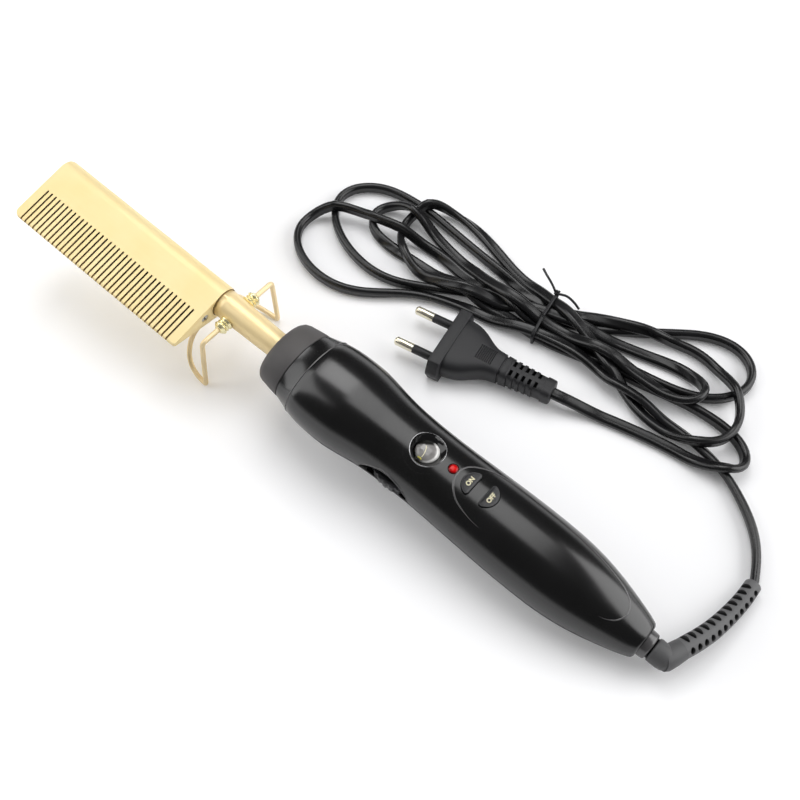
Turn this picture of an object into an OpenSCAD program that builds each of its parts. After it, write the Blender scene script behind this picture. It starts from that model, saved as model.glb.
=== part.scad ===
// Electric hot comb with a folding wire stand, a temperature dial, two push
// keys, and a tied cord on a swivel.  Millimetres.  +X runs from the comb to
// the tail, -Y is the side of the teeth and the dial, +Z is up.  The origin is
// on the table, midway between the two feet of the stand.

/* [Comb head] */
// Length of the comb along the handle axis
head_len = 96; // [80:1:110]
// Radius of the rounded spine
spine_r = 6.8; // [6.6:0.1:8]
// Distance from the spine's centre to the tips of the teeth
tooth_reach = 29; // [25:0.5:36]
// Radius of the thin edge at the tips of the teeth
edge_r = 1.1; // [0.8:0.1:1.6]
// Number of slots between the teeth
slot_count = 37; // [20:1:37]
// Distance from one slot to the next
slot_pitch = 2.42; // [2.1:0.02:2.44]
// Width of a slot
slot_w = 0.8; // [0.5:0.1:1.2]
// Length of a slot, from the tips of the teeth inwards
slot_len = 16.5; // [10:0.5:18]
// Radius of the comb's outer corners, seen from above
corner_r = 3; // [1:0.5:4]

/* [Heater tube] */
// Outer radius of the tube at the comb
tube_head_r = 6.35; // [6:0.05:6.5]
// Outer radius of the tube in the handle
tube_r = 5.7; // [5.4:0.1:6]
// Radius of the tube's spigot inside the comb
spigot_r = 4.6; // [4.2:0.1:5]
// Radius of the tube's bore
tube_bore_r = 3.5; // [3:0.1:3.8]
// Bare length of tube between the comb and the collar
tube_show = 33; // [30:1:45]
// Radius of the ceramic heater rod
heater_r = 3.9; // [3.4:0.1:4.1]

/* [Stand] */
// Radius of the stand's wire
wire_r = 1.1; // [0.9:0.1:1.3]
// Half the distance between the feet
foot_half = 22.3; // [20:0.1:25]
// Height of the pivots above the table
pivot_h = 31.5; // [30:0.5:34]
// Reach of each pivot boss from the tube's axis
boss_reach = 11.2; // [10:0.2:13]
// Running clearance between wire and boss
pivot_fit = 0.06; // [0.03:0.01:0.09]

/* [Handle] */
// Length of the grip, from the collar's seam to its shoulder at the tail
grip_len = 169.7; // [160:0.1:180]
// Width of the grip where it leaves the collar
mouth_w = 33.2; // [32:0.2:35]
// Width at the shoulder line
shoulder_w = 37.6; // [36:0.2:39]
// Greatest width of the front bulge
bulge_w = 40.2; // [38:0.2:42]
// Width of the waist under the window
waist_w = 32.8; // [32:0.2:35]
// Greatest width of the rear swell
belly_w = 35; // [34:0.2:38]
// Width at the tail's shoulder
tail_w = 15.4; // [14.8:0.2:17]
// Height of the section as a share of its width, at the collar
front_flat = 0.76; // [0.74:0.01:0.8]
// Height of the section as a share of its width, behind the waist
rear_flat = 0.88; // [0.86:0.01:0.92]
// Wall of the two shells
shell_wall = 2; // [1.6:0.1:2.2]
// Height of the parting plane over the axis
part_rise = 2; // [1.5:0.1:2.5]
// Roll of the parting plane about the axis, degrees
part_roll = 13; // [8:1:14]
// Length of the round neck behind the tail's shoulder
neck_len = 3.8; // [3:0.2:5]
// Radius of that neck
neck_r = 4.4; // [4.2:0.1:4.8]

/* [Controls] */
// Distance from the seam to the middle of the window
window_at = 64; // [62:0.5:66]
// Outer radius of the window's bright ring
window_r = 8.4; // [8:0.1:8.8]
// Backward tilt of the window, degrees
window_tilt = 8; // [4:1:10]
// Radius of the clear lens
lens_r = 5; // [4.4:0.1:5.4]
// Distance from the seam to the lamp
led_at = 76.4; // [76:0.2:77]
// Radius of the lamp's dome
led_r = 2.1; // [1.8:0.1:2.3]
// Distance from the seam to the middle between the two keys
keys_at = 89.5; // [89:0.5:92]
// Radius of each half-round key
key_r = 5.2; // [4.8:0.1:5.4]
// Distance between the flat sides of the keys
key_split = 5.4; // [5:0.2:6]
// Travel of a key
key_travel = 0.8; // [0.6:0.1:1]
// Gap all round a key
key_gap = 0.25; // [0.2:0.05:0.35]
// Distance from the seam to the dial wheel's axis
wheel_at = 57.7; // [56:0.1:59]
// Radius of the dial wheel
wheel_r = 14.5; // [14:0.1:14.8]
// Distance of the wheel's axis from the handle's axis, towards the teeth
wheel_side = 2.5; // [2:0.1:2.8]
// Thickness of the dial wheel
wheel_t = 3.6; // [3:0.1:4]

/* [Cord] */
// Width of the flat twin cord
cord_w = 5.4; // [5:0.1:6]
// Thickness of the flat twin cord
cord_t = 3.4; // [3:0.1:3.8]
// Number of ribs on the strain relief at the handle
boot_ribs = 14; // [10:1:14]

/* [Plug] */
// Radius of a pin
pin_r = 2; // [2:0.1:2.4]
// Free length of a pin
pin_len = 19; // [18:0.5:20]
// Distance between the pins
pin_pitch = 18.6; // [18.6:0.1:19]
// Width of the plug's flange
flange_w = 35.3; // [33:0.1:36]
// Height of the plug's flange
flange_h = 13.7; // [13:0.1:14.5]
// Thickness of the plug's flange
flange_t = 5.5; // [4:0.5:7]

/* [Hidden] */
$fn = 48;

gold = "#e6c98a";
brass = "#d8b456";
black = "#17171a";
charcoal = "#3c3c3f";
steel = "#b9bcc0";
white = "#ece8df";
board_green = "#2f6b45";
cord_black = "#1c1c1f";

gap = 0.3;                       // gap between moving faces, and at open seams
seat = 0.05;                     // clearance between two seated faces
foot_back = 2;                   // feet stand this far ahead of the pivots
heel_x = -7.6;                   // comb's heel face, from the pivots
tip_x = heel_x - head_len;
spigot_len = 22;
tube_start = heel_x + 0.2;
collar_x = heel_x + tube_show;   // collar's front face
collar_len = 11.8;
seam_x = collar_x + collar_len;  // seam between collar and grip
grip_x = seam_x + gap;
tail_x = grip_x + grip_len;      // shoulder at the tail
neck_end = tail_x + neck_len;
tube_end = 62;

// ---------- grip outline: [distance from the seam, half width] ----------
function blend(a, b, f) = a + (b - a) * f;
grip_rows = [
    [0, mouth_w / 2],
    [6.9, shoulder_w / 2 - 0.15],
    [7.1, shoulder_w / 2],
    [13, blend(shoulder_w, bulge_w, 0.75) / 2],
    [20, bulge_w / 2],
    [28, blend(bulge_w, waist_w, 0.05) / 2],
    [36, blend(bulge_w, waist_w, 0.37) / 2],
    [44, blend(bulge_w, waist_w, 0.73) / 2],
    [53, blend(bulge_w, waist_w, 0.93) / 2],
    [64, waist_w / 2],
    [74, blend(waist_w, belly_w, 0.06) / 2],
    [90, blend(waist_w, belly_w, 0.52) / 2],
    [grip_len - 65.7, blend(waist_w, belly_w, 0.9) / 2],
    [grip_len - 52.7, belly_w / 2],
    [grip_len - 40.7, blend(belly_w, tail_w, 0.03) / 2],
    [grip_len - 30.7, blend(belly_w, tail_w, 0.13) / 2],
    [grip_len - 22.7, blend(belly_w, tail_w, 0.28) / 2],
    [grip_len - 15.7, blend(belly_w, tail_w, 0.46) / 2],
    [grip_len - 8.7, blend(belly_w, tail_w, 0.67) / 2],
    [grip_len - 3.7, blend(belly_w, tail_w, 0.84) / 2],
    [grip_len, tail_w / 2]];

// Catmull-Rom value of a [x, value] table at x
function row_of(t, x, i = 0) = i >= len(t) - 2 || x < t[i + 1][0] ? i : row_of(t, x, i + 1);
function slope_at(t, i) =
    let (a = max(i - 1, 0), b = min(i + 1, len(t) - 1)) (t[b][1] - t[a][1]) / (t[b][0] - t[a][0]);
function smooth_row(t, x) =
    let (i = row_of(t, x), h = t[i + 1][0] - t[i][0], u = (x - t[i][0]) / h,
         m0 = slope_at(t, i) * h, m1 = slope_at(t, i + 1) * h)
    (2*u*u*u - 3*u*u + 1) * t[i][1] + (u*u*u - 2*u*u + u) * m0
    + (3*u*u - 2*u*u*u) * t[i + 1][1] + (u*u*u - u*u) * m1;
function half_w(x) = smooth_row(grip_rows, x - grip_x);
function flat_at(x) =
    let (u = min(1, max(0, (x - grip_x) / window_at))) blend(front_flat, rear_flat, u*u*(3 - 2*u));
function half_h(x) = half_w(x) * flat_at(x);

// Pitch at which the grip's belly lies on the table while the feet stand on it
rest_stations = [for (x = [100 : 5 : 200]) x];
function belly_drop(p) = max([for (x = rest_stations) x * sin(p) + half_h(x) * cos(p)]);
function solve_pitch(lo, hi, n) =
    n == 0 ? (lo + hi) / 2
    : let (mid = (lo + hi) / 2) belly_drop(mid) > pivot_h ? solve_pitch(lo, mid, n - 1)
                                                          : solve_pitch(mid, hi, n - 1);
pitch = solve_pitch(0, 12, 24);

module place_comb() {
    translate([foot_back, 0, pivot_h]) rotate([0, pitch, 0]) children();
}
function on_table(p) = [foot_back + p[0] * cos(pitch) + p[2] * sin(pitch), p[1],
                        pivot_h - p[0] * sin(pitch) + p[2] * cos(pitch)];

// ---------- general shapes ----------
module along_x(x0, x1, r, r_end = undef) {
    translate([x0, 0, 0]) rotate([0, 90, 0])
        cylinder(h = x1 - x0, r1 = r, r2 = is_undef(r_end) ? r : r_end);
}
module post(x, y, z0, z1, r) { translate([x, y, z0]) cylinder(h = z1 - z0, r = r); }
module block(x0, x1, y0, y1, z0, z1) { translate([x0, y0, z0]) cube([x1 - x0, y1 - y0, z1 - z0]); }

function unit(v) = v / norm(v);
function frame_of(o, x, z) = let (y = cross(z, x))
    [[x[0], y[0], z[0], o[0]], [x[1], y[1], z[1], o[1]], [x[2], y[2], z[2], o[2]], [0, 0, 0, 1]];
function any_normal(d) = unit(abs(d[2]) < 0.9 ? cross(d, [0, 0, 1]) : cross(d, [1, 0, 0]));

module rod(p, q, r) {
    d = unit(q - p);
    multmatrix(frame_of(p, any_normal(d), d)) cylinder(h = norm(q - p), r = r);
}
// Round wire bent round the inner points of a path, all bends of one radius
function turn_at(p, i) = acos(unit(p[i] - p[i - 1]) * unit(p[i + 1] - p[i]));
function trim_at(p, i, rb) = i <= 0 || i >= len(p) - 1 ? 0 : rb[i] * tan(turn_at(p, i) / 2);
module bent_wire(p, rb, r) {
    lap = 0.05;                  // straights run a little into the bends
    for (i = [0 : len(p) - 2]) {
        d = unit(p[i + 1] - p[i]);
        a = trim_at(p, i, rb) - (i > 0 ? lap : 0);
        b = trim_at(p, i + 1, rb) - (i < len(p) - 2 ? lap : 0);
        rod(p[i] + d * a, p[i + 1] - d * b, r);
    }
    for (i = [1 : len(p) - 2]) {
        d1 = unit(p[i] - p[i - 1]);
        d2 = unit(p[i + 1] - p[i]);
        side = unit(d2 - d1 * (d1 * d2));
        start = p[i] - d1 * trim_at(p, i, rb);
        multmatrix(frame_of(start + side * rb[i], -side, cross(-side, d1)))
            rotate_extrude(angle = turn_at(p, i)) translate([rb[i], 0]) circle(r = r - 0.01);
    }
}

// Closed solid through a list of rings that have the same even number of points
module loft(rings) {
    n = len(rings[0]);
    last = (len(rings) - 1) * n;
    polyhedron(points = [for (ring = rings) for (p = ring) p],
        faces = concat(
            [for (i = [0 : n / 2 - 2]) for (tri = [[i, i + 1, n - 2 - i], [i, n - 2 - i, n - 1 - i]]) tri],
            [for (j = [0 : len(rings) - 2]) for (i = [0 : n - 1])
                let (a = j*n + i, b = j*n + (i + 1) % n)
                for (tri = [[a, b + n, b], [a, a + n, b + n]]) tri],
            [for (i = [0 : n / 2 - 2])
                for (tri = [[i, n - 2 - i, i + 1], [i, n - 1 - i, n - 2 - i]]) tri + [last, last, last]]));
}

// Flat cord swept along a route, flat side kept level
function curve_at(p, i, u) =
    let (a = p[max(i - 1, 0)], b = p[i], c = p[i + 1], d = p[min(i + 2, len(p) - 1)])
    0.5 * (2*b + (c - a)*u + (2*a - 5*b + 4*c - d)*u*u + (3*b - a - 3*c + d)*u*u*u);
function curve(p, steps) = concat(
    [for (i = [0 : len(p) - 2]) for (s = [0 : steps - 1]) curve_at(p, i, s / steps)],
    [p[len(p) - 1]]);
function closed_curve(p, steps) = let (n = len(p))
    [for (i = [0 : n - 1]) for (s = [0 : steps - 1])
        curve_at([p[(i + n - 1) % n], p[i], p[(i + 1) % n], p[(i + 2) % n]], 1, s / steps)];
module cord(route, steps) {
    c = curve(route, steps);
    n = len(c);
    loft([for (i = [0 : n - 1])
        let (t = unit(c[min(i + 1, n - 1)] - c[max(i - 1, 0)]),
             s = unit(cross([0, 0, 1], t)), u = cross(t, s))
        [for (k = [0 : 9]) let (g = 360 * k / 10 + 18)
            c[i] + s * (cord_w / 2 * cos(g)) + u * (cord_t / 2 * sin(g))]]);
}

// ---------- comb head ----------
function tangent_tilt() = asin((spine_r - edge_r) / (tooth_reach - edge_r));
module head_section() {
    t = tangent_tilt();
    e = tooth_reach - edge_r;
    circle(r = spine_r);
    translate([-e, 0]) circle(r = edge_r);
    polygon([[-spine_r * sin(t), spine_r * cos(t)], [-e - edge_r * sin(t), edge_r * cos(t)],
             [-e - edge_r * sin(t), -edge_r * cos(t)], [-spine_r * sin(t), -spine_r * cos(t)]]);
}
module head_outline() {
    hull() for (x = [tip_x + corner_r, heel_x - corner_r / 2]) {
        inset = x < (tip_x + heel_x) / 2 ? corner_r : corner_r / 2;
        translate([x, spine_r - inset]) circle(r = inset, $fn = 32);
        translate([x, inset - tooth_reach]) circle(r = inset, $fn = 32);
    }
}
slots_len = (slot_count - 1) * slot_pitch;
first_slot = (tip_x + heel_x - slots_len) / 2;
screw_side = 11;                 // heel screw, from the spine's centre
module comb_head() {
    color(gold) place_comb() difference() {
        intersection() {
            translate([tip_x, 0, 0]) rotate([90, 0, 90]) linear_extrude(head_len) head_section();
            translate([0, 0, -spine_r - 1]) linear_extrude(2 * spine_r + 2) head_outline();
        }
        along_x(heel_x - spigot_len - 0.5, heel_x + 1, spigot_r);
        along_x(tip_x + 8, heel_x - spigot_len, heater_r + 0.1);
        translate([0, -screw_side, 0]) along_x(heel_x - 12, heel_x + 1, 1.25);
        translate([0, -screw_side, 0]) along_x(heel_x - 2, heel_x + 1, 1.9);
        for (i = [0 : slot_count - 1]) {
            x = first_slot + i * slot_pitch;
            block(x - slot_w / 2, x + slot_w / 2, -tooth_reach - 1, slot_len - tooth_reach, -9, 9);
        }
    }
}
module head_screw() {
    color(steel) place_comb() translate([0, -screw_side, 0]) difference() {
        union() {
            along_x(heel_x - 11, heel_x - 1.9, 1.2);
            along_x(heel_x - 2, heel_x - 0.4, 1.8);
        }
        block(heel_x - 1, heel_x, -0.3, 0.3, -2, 2);
    }
}
module heater_rod() {
    color(white) place_comb() {
        along_x(tip_x + 8.3, heel_x - spigot_len - 3, heater_r);
        along_x(heel_x - spigot_len - 3, heel_x - spigot_len - 0.2, heater_r - 0.6);
    }
}
module heater_leads() {
    start = heel_x - spigot_len - 0.1;
    color(white) place_comb() for (s = [-1, 1])
        bent_wire([[start, s * 1.3, 0], [tube_end + 4, s * 1.3, 0], [tube_end + 9, s * 4, -4.5],
                   [board_x0 + 3, s * 5, board_top + 0.65]], [0, 4, 3, 0], 0.6);
}
module lead_sleeve() {
    color("#d9cfae") place_comb() difference() {
        along_x(heel_x - spigot_len + 0.3, tube_end + 3, tube_bore_r - 0.1);
        along_x(heel_x - spigot_len, tube_end + 4, 2.2);
    }
}
module neck_tube() {
    color(gold) place_comb() difference() {
        union() {
            along_x(heel_x - spigot_len, tube_start, spigot_r - seat);
            along_x(tube_start, tube_start + 0.5, tube_head_r - 0.4, tube_head_r);
            along_x(tube_start + 0.5, collar_x - 3, tube_head_r, tube_r);
            along_x(collar_x - 3, tube_end, tube_r);
        }
        along_x(heel_x - spigot_len - 1, tube_end + 1, tube_bore_r);
        for (s = [-90, 90]) rotate([s, 0, 0]) cylinder(h = 10, r = boss_shank_r);
    }
}

// ---------- stand ----------
boss_shank_r = 1.8;
boss_seat = 5.9;                 // where a boss meets the tube's flank
wire_in = 7.4;                   // inner end of the wire, from the tube's axis
module boss_profile() {
    difference() {
        union() {
            translate([0, tube_bore_r + 0.9]) square([boss_shank_r - seat, 3]);
            translate([0, boss_seat]) square([2.7, boss_reach - boss_seat - 0.6]);
            for (row = [[3.3, 0.7, 0.8], [3.0, 2.3, 0.6], [3.2, 3.7, 0.7]])
                translate([row[0] - row[2], boss_seat + row[1]]) circle(r = row[2]);
            for (row = [[3.3, 0.7, 0.8], [3.0, 2.3, 0.6], [3.2, 3.7, 0.7]])
                translate([0, boss_seat + row[1] - row[2]]) square([row[0] - row[2], 2 * row[2]]);
            translate([0, boss_seat]) square([1.9, boss_reach - boss_seat]);
        }
        translate([-1, 0]) square([1, 20]);
        translate([-1, wire_in - gap]) square([1 + wire_r + pivot_fit, 10]);
    }
}
module pivot_bosses() {
    color(brass) place_comb() difference() {
        for (s = [-90, 90]) rotate([s, 0, 0]) rotate_extrude() boss_profile();
        difference() {
            along_x(tube_start + 0.5, collar_x - 3, tube_head_r + 0.01, tube_r + 0.01);
            for (s = [-90, 90]) rotate([s, 0, 0]) cylinder(h = 10, r = boss_shank_r);
        }
    }
}
knee_half = foot_half - 1.9;     // knees, where the wire turns down
arch_x = -10.6;                  // crown of the arch, ahead of the pivots
// The crown passes just under the comb's spine, which lies on it as its stop
arch_z = arch_x * -tan(pitch) - (spine_r + wire_r + gap) / cos(pitch);
foot_z = wire_r - pivot_h;
function stand_side(s) = [
    [0, s * wire_in, 0], [0, s * knee_half, 0], [-foot_back, s * foot_half, foot_z],
    [blend(-foot_back, arch_x, 0.96), s * foot_half, blend(foot_z, arch_z, 0.97)]];
module stand_wire() {
    path = concat(stand_side(-1), [for (i = [3 : -1 : 0]) stand_side(1)[i]]);
    color(gold) translate([foot_back, 0, pivot_h])
        bent_wire(path, [0, 3.2, 1.5, 8, 8, 1.5, 3.2, 0], wire_r);
}

// ---------- handle ----------
function arc_points(a, b, z0, up, n) =
    let (k = a * tan(part_roll), big = norm([b, k]), phi = atan2(k, b), e = asin(z0 / big),
         from = up ? phi + e : phi + 180 - e, to = up ? phi + 180 - e : phi + 360 + e)
    [for (i = [0 : n]) let (g = blend(from, to, i / n)) [a * cos(g), b * sin(g)]];
cave_end = tail_x - 19;          // back wall of the hollow
function cave_w(x) = x > cave_end + 4 ? 2.4
    : x > cave_end ? blend(half_w(cave_end) - shell_wall, 2.4, (x - cave_end) / 4)
    : half_w(x) - shell_wall;
function cave_h(x) = x > cave_end + 4 ? 2.4
    : x > cave_end ? blend(half_h(cave_end) - shell_wall, 2.4, (x - cave_end) / 4)
    : half_h(x) - shell_wall;
shell_stations = concat(
    [for (d = [0, 3.5, 6.9, 7.1, 10, 13.5, 17, 21, 25, 29, 33, 37, 41, 46, 52, 58, 64, 70, 77, 85,
               93]) grip_x + d],
    [for (d = [65.7, 56.7, 48.7, 41.7, 35.7, 29.7, 24.7]) tail_x - d],
    [cave_end, cave_end + 4, tail_x - 11, tail_x - 7.5, tail_x - 4, tail_x]);
function shell_ring(x, a, b, up) =
    let (n = 22, z0 = up ? part_rise : -part_rise, cut = part_rise)
    [for (p = concat(arc_points(a, b, cut, up, n),
                     [for (i = [n : -1 : 0]) arc_points(cave_w(x), cave_h(x), min(cut, cave_h(x) * 0.8), up, n)[i]]))
        [x, p[0], p[1]]];
module shell_half(up) {
    loft(concat(
        [for (x = shell_stations) shell_ring(x, half_w(x), half_h(x), up)],
        [for (x = [tail_x, neck_end]) shell_ring(x, neck_r, neck_r, up)]));
}
module half_space(up, lift = 0) {
    translate([seam_x - 5, 0, part_rise]) rotate([part_roll, 0, 0])
        translate([0, -40, up ? lift : -60 - lift]) cube([grip_len + 30, 80, 60]);
}
shank_r = 3;                     // swivel shank in the handle's neck
swivel_fit = 0.06;
module swivel_bore() {
    along_x(cave_end - 1, neck_end + 1, shank_r + swivel_fit);
    along_x(cave_end + 4.6, cave_end + 7.4, 4.6);
}

window_x = grip_x + window_at;
window_z = half_h(window_x) - 0.7;
module at_window() { translate([window_x, 0, window_z]) rotate([0, window_tilt, 0]) children(); }
led_x = grip_x + led_at;
key_x = grip_x + keys_at;
wheel_x = grip_x + wheel_at;
wheel_z0 = -3;
slot_half = 10;                  // half the length of the dial's opening
module wheel_opening() {
    z0 = wheel_z0 - 0.7;
    h = wheel_t + 1.6;
    hull() for (s = [-1, 1]) translate([wheel_x + s * (slot_half - h / 2), -24, z0 + h / 2])
        rotate([-90, 0, 0]) cylinder(h = 24 - wheel_side - 8.4, r = h / 2, $fn = 32);
    post(wheel_x, -wheel_side, wheel_z0 - gap, wheel_z0 + wheel_t + 0.6, wheel_r + gap);
}
module key_shape(r, z0, z1, front) {
    s = front ? -1 : 1;
    e = r - key_r;
    translate([key_x + s * key_split / 2, 0, 0]) intersection() {
        translate([0, 0, z0]) cylinder(h = z1 - z0, r = r);
        block(s < 0 ? -20 : -e, s < 0 ? e : 20, -10, 10, z0, z1);
    }
}
front_screws = [for (s = [-1, 1]) [grip_x + 37, s * 11.5]];
rear_screws = [[tail_x - 56.7, 0], [tail_x - 28.7, 0]];
shell_screw_at = concat(front_screws, rear_screws);
screw_floor = -8.6;              // seat of a shell screw's head
function split_z(y) = part_rise + y * tan(part_roll);
key_posts = [for (x = [key_x - 14.2, key_x + 13]) for (s = [-1, 1]) [x, s * 7.2]];
key_board_z = half_h(key_x) - 10;
// Underside of the shell over the keys' flanges
key_flange = 0.6;
key_seat = (half_h(key_x - 9) - shell_wall)
    * sqrt(1 - pow((key_r + key_flange) / (half_w(key_x - 9) - shell_wall), 2)) - 0.1;

module upper_shell() {
    color(black) place_comb() {
        difference() {
            union() {
                shell_half(true);
                intersection() {
                    union() {
                        at_window() translate([0, 0, -6.4]) cylinder(h = 6.6, r = window_r + 0.8);
                        for (p = shell_screw_at) post(p[0], p[1], -3, 16, 3);
                        for (p = key_posts) post(p[0], p[1], key_board_z + 1.6, 16, 2.2);
                        block(cave_end + 1, cave_end + 12, -6.5, 6.5, -1, 6);
                    }
                    half_space(true);
                    upper_fill();
                }
            }
            at_window() translate([0, 0, -0.9]) cylinder(h = 8, r = window_r);
            at_window() translate([0, 0, -9]) cylinder(h = 12, r = window_r - 0.7);
            post(led_x, 0, 4, 20, led_r + 0.15);
            key_shape(key_r + key_gap, 3, 20, true);
            key_shape(key_r + key_gap, 3, 20, false);
            wheel_opening();
            for (p = shell_screw_at) post(p[0], p[1], -4, split_z(p[1]) + 5, 1.2);
            for (p = key_posts) post(p[0], p[1], key_board_z, key_board_z + 6, 0.9);
            swivel_bore();
        }
    }
}
// What lies inside the grip's skin, to keep bosses within it
module grip_fill() {
    stations = [clamp_x0 - 2, clamp_x1 + 1, grip_x + 37, grip_x + 52, grip_x + 84, tail_x - 56.7,
                tail_x - 40.7, tail_x - 27.7, cave_end, cave_end + 13];
    loft([for (x = stations)
        [for (i = [0 : 27]) [x, (half_w(x) - 0.9) * cos(360 * i / 28), (half_h(x) - 0.9) * sin(360 * i / 28)]]]);
}
module upper_fill() {
    grip_fill();
    at_window() translate([0, 0, -7]) cylinder(h = 7.2, r = window_r + 1);
}
board_z = -9.2;
board_t = 1.6;
board_top = board_z + board_t;
board_x0 = wheel_x - 15;
board_x1 = wheel_x + 40;
board_half = 9;
board_posts = [[board_x0 + 3, 0], [board_x1 - 3, 0]];
clamp_x0 = grip_x + 13;
clamp_x1 = clamp_x0 + 8;
clamp_side = 10.5;
module lower_shell() {
    color(black) place_comb() difference() {
        union() {
            shell_half(false);
            intersection() {
                union() {
                    for (p = shell_screw_at) post(p[0], p[1], -16, 16, 3);
                    for (p = board_posts) post(p[0], p[1], -16, board_z, 2.2);
                    block(clamp_x0, clamp_x1, -13, 13, -13, 0);
                    block(cave_end + 1, cave_end + 12, -6.5, 6.5, -6, 4);
                    block(cave_end - 4, cave_end - 2.1, -3, 3, -16, -4.6);
                }
                half_space(false);
                grip_fill();
            }
        }
        for (p = shell_screw_at) {
            post(p[0], p[1], -20, screw_floor, 2.9);
            post(p[0], p[1], -20, 16, 1.5);
        }
        for (p = board_posts) post(p[0], p[1], board_z - 4, board_z + 1, 0.9);
        for (s = [-1, 1]) post((clamp_x0 + clamp_x1) / 2, s * clamp_side, -8, 1, 1.2);
        along_x(clamp_x0 - 1, clamp_x1 + 1, tube_r);
        wheel_opening();
        swivel_bore();
    }
}
module pan_screw(z_head, length, r, head_r, head_h) {
    difference() {
        union() {
            translate([0, 0, z_head]) cylinder(h = length, r = r);
            translate([0, 0, z_head - head_h]) cylinder(h = head_h, r = head_r);
        }
        for (a = [0, 90]) rotate([0, 0, a]) translate([-head_r * 0.6, -0.3, z_head - head_h - 0.01])
            cube([head_r * 1.2, 0.6, head_h * 0.55]);
    }
}
module shell_screws() {
    color(steel) place_comb() for (p = shell_screw_at)
        translate([p[0], p[1], 0]) pan_screw(screw_floor, split_z(p[1]) + 4.2 - screw_floor, 1.15, 2.6, 1.8);
}

// Collar: an oval cap whose spigot fits inside the grip's mouth
function collar_ring(x, grow) =
    let (a = mouth_w / 2 + grow - 0.14 * (seam_x - x), b = (mouth_w / 2) * front_flat + grow * 0.9 - 0.1 * (seam_x - x))
    [for (i = [0 : 35]) [x, a * cos(10 * i), b * sin(10 * i)]];
module front_collar() {
    spigot = shell_wall + 0.2;
    color(charcoal) place_comb() difference() {
        union() {
            loft([collar_ring(collar_x, -2.4), collar_ring(collar_x + 0.4, -1.3),
                  collar_ring(collar_x + 1.4, -0.4), collar_ring(collar_x + 3, 0),
                  collar_ring(collar_x + 8, 0.1), collar_ring(seam_x - 0.3, 0.1), collar_ring(seam_x, -0.2)]);
            loft([for (x = [seam_x - 0.5, seam_x + 4])
                [for (i = [0 : 35]) [x, (mouth_w / 2 - spigot) * cos(10 * i),
                                     (mouth_w / 2 * front_flat - spigot) * sin(10 * i)]]]);
        }
        along_x(collar_x - 1, seam_x + 5, tube_r + seat);
    }
}
module tube_clamp() {
    color(steel) place_comb() difference() {
        union() {
            along_x(clamp_x0, clamp_x1, tube_r + 1.8);
            block(clamp_x0, clamp_x1, -13, 13, 0, 1.8);
        }
        block(clamp_x0 - 1, clamp_x1 + 1, -20, 20, -20, 0);
        along_x(clamp_x0 - 1, clamp_x1 + 1, tube_r + seat);
        for (s = [-1, 1]) post((clamp_x0 + clamp_x1) / 2, s * clamp_side, -1, 3, 1.5);
    }
}
module clamp_screws() {
    color(steel) place_comb() for (s = [-1, 1])
        translate([(clamp_x0 + clamp_x1) / 2, s * clamp_side, 0]) mirror([0, 0, 1])
            pan_screw(-1.8, 8.6, 1.15, 2.2, 1.6);
}

// ---------- controls ----------
ring_depth = 5;
module window_ring() {
    color("silver") place_comb() at_window() difference() {
        union() {
            translate([0, 0, -0.9]) cylinder(h = 1.4, r = window_r - seat);
            translate([0, 0, -ring_depth - 1.6]) cylinder(h = ring_depth + 1.7, r = window_r - 0.7 - seat);
        }
        translate([0, 0, -ring_depth]) cylinder(h = ring_depth + 1, r1 = lens_r + 0.4, r2 = window_r - 0.6);
        translate([0, 0, -ring_depth - 2]) cylinder(h = 3, r = lens_r + seat);
    }
}
module window_lens() {
    dome_r = 12;
    color("#dfe8ec") place_comb() at_window() intersection() {
        translate([0, 0, -ring_depth - 1.6]) cylinder(h = 4, r = lens_r);
        translate([0, 0, -ring_depth + 1 - dome_r]) sphere(r = dome_r);
    }
}
module led_lamp() {
    top = half_h(led_x) + 0.4;
    color("#d8141c") place_comb() {
        translate([led_x, 0, top - led_r]) sphere(r = led_r);
        post(led_x, 0, key_board_z + 2.6, top - led_r, led_r);
        post(led_x, 0, key_board_z + 1.6, key_board_z + 2.6, led_r + 0.5);
    }
}
key_top = half_h(key_x) + 0.5;
switch_top = key_board_z + 1.6 + 3.5;
module push_key(front) {
    s = front ? -1 : 1;
    crown_r = 30;
    stem_x = key_x + s * (key_split / 2 + 2.2);
    intersection() {
        key_shape(key_r, key_seat - 0.5, key_top, front);
        translate([key_x, 0, key_top - crown_r]) sphere(r = crown_r);
    }
    key_shape(key_r + key_flange, key_seat - 0.9, key_seat, front);
    post(stem_x, 0, switch_top + gap / 2, key_seat - 0.5, 1.4);
}
module button_on() { color(black) place_comb() push_key(true); }
module button_off() { color(black) place_comb() push_key(false); }
module key_board() {
    color(board_green) place_comb() difference() {
        block(key_x - 16.6, key_x + 15.4, -9.4, 9.4, key_board_z, key_board_z + 1.6);
        for (p = key_posts) post(p[0], p[1], key_board_z - 1, key_board_z + 3, 1.15);
    }
}
module key_switches() {
    z = key_board_z + 1.6;
    color(steel) place_comb() for (s = [-1, 1]) {
        x = key_x + s * (key_split / 2 + 2.2);
        block(x - 3, x + 3, -3, 3, z, z + 2.4);
        post(x, 0, z + 2.4, switch_top - key_travel, 1.6);
    }
}
module key_board_screws() {
    color(steel) place_comb() for (p = key_posts)
        translate([p[0], p[1], 0]) pan_screw(key_board_z, 6, 0.88, 1.7, 1.2);
}
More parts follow.
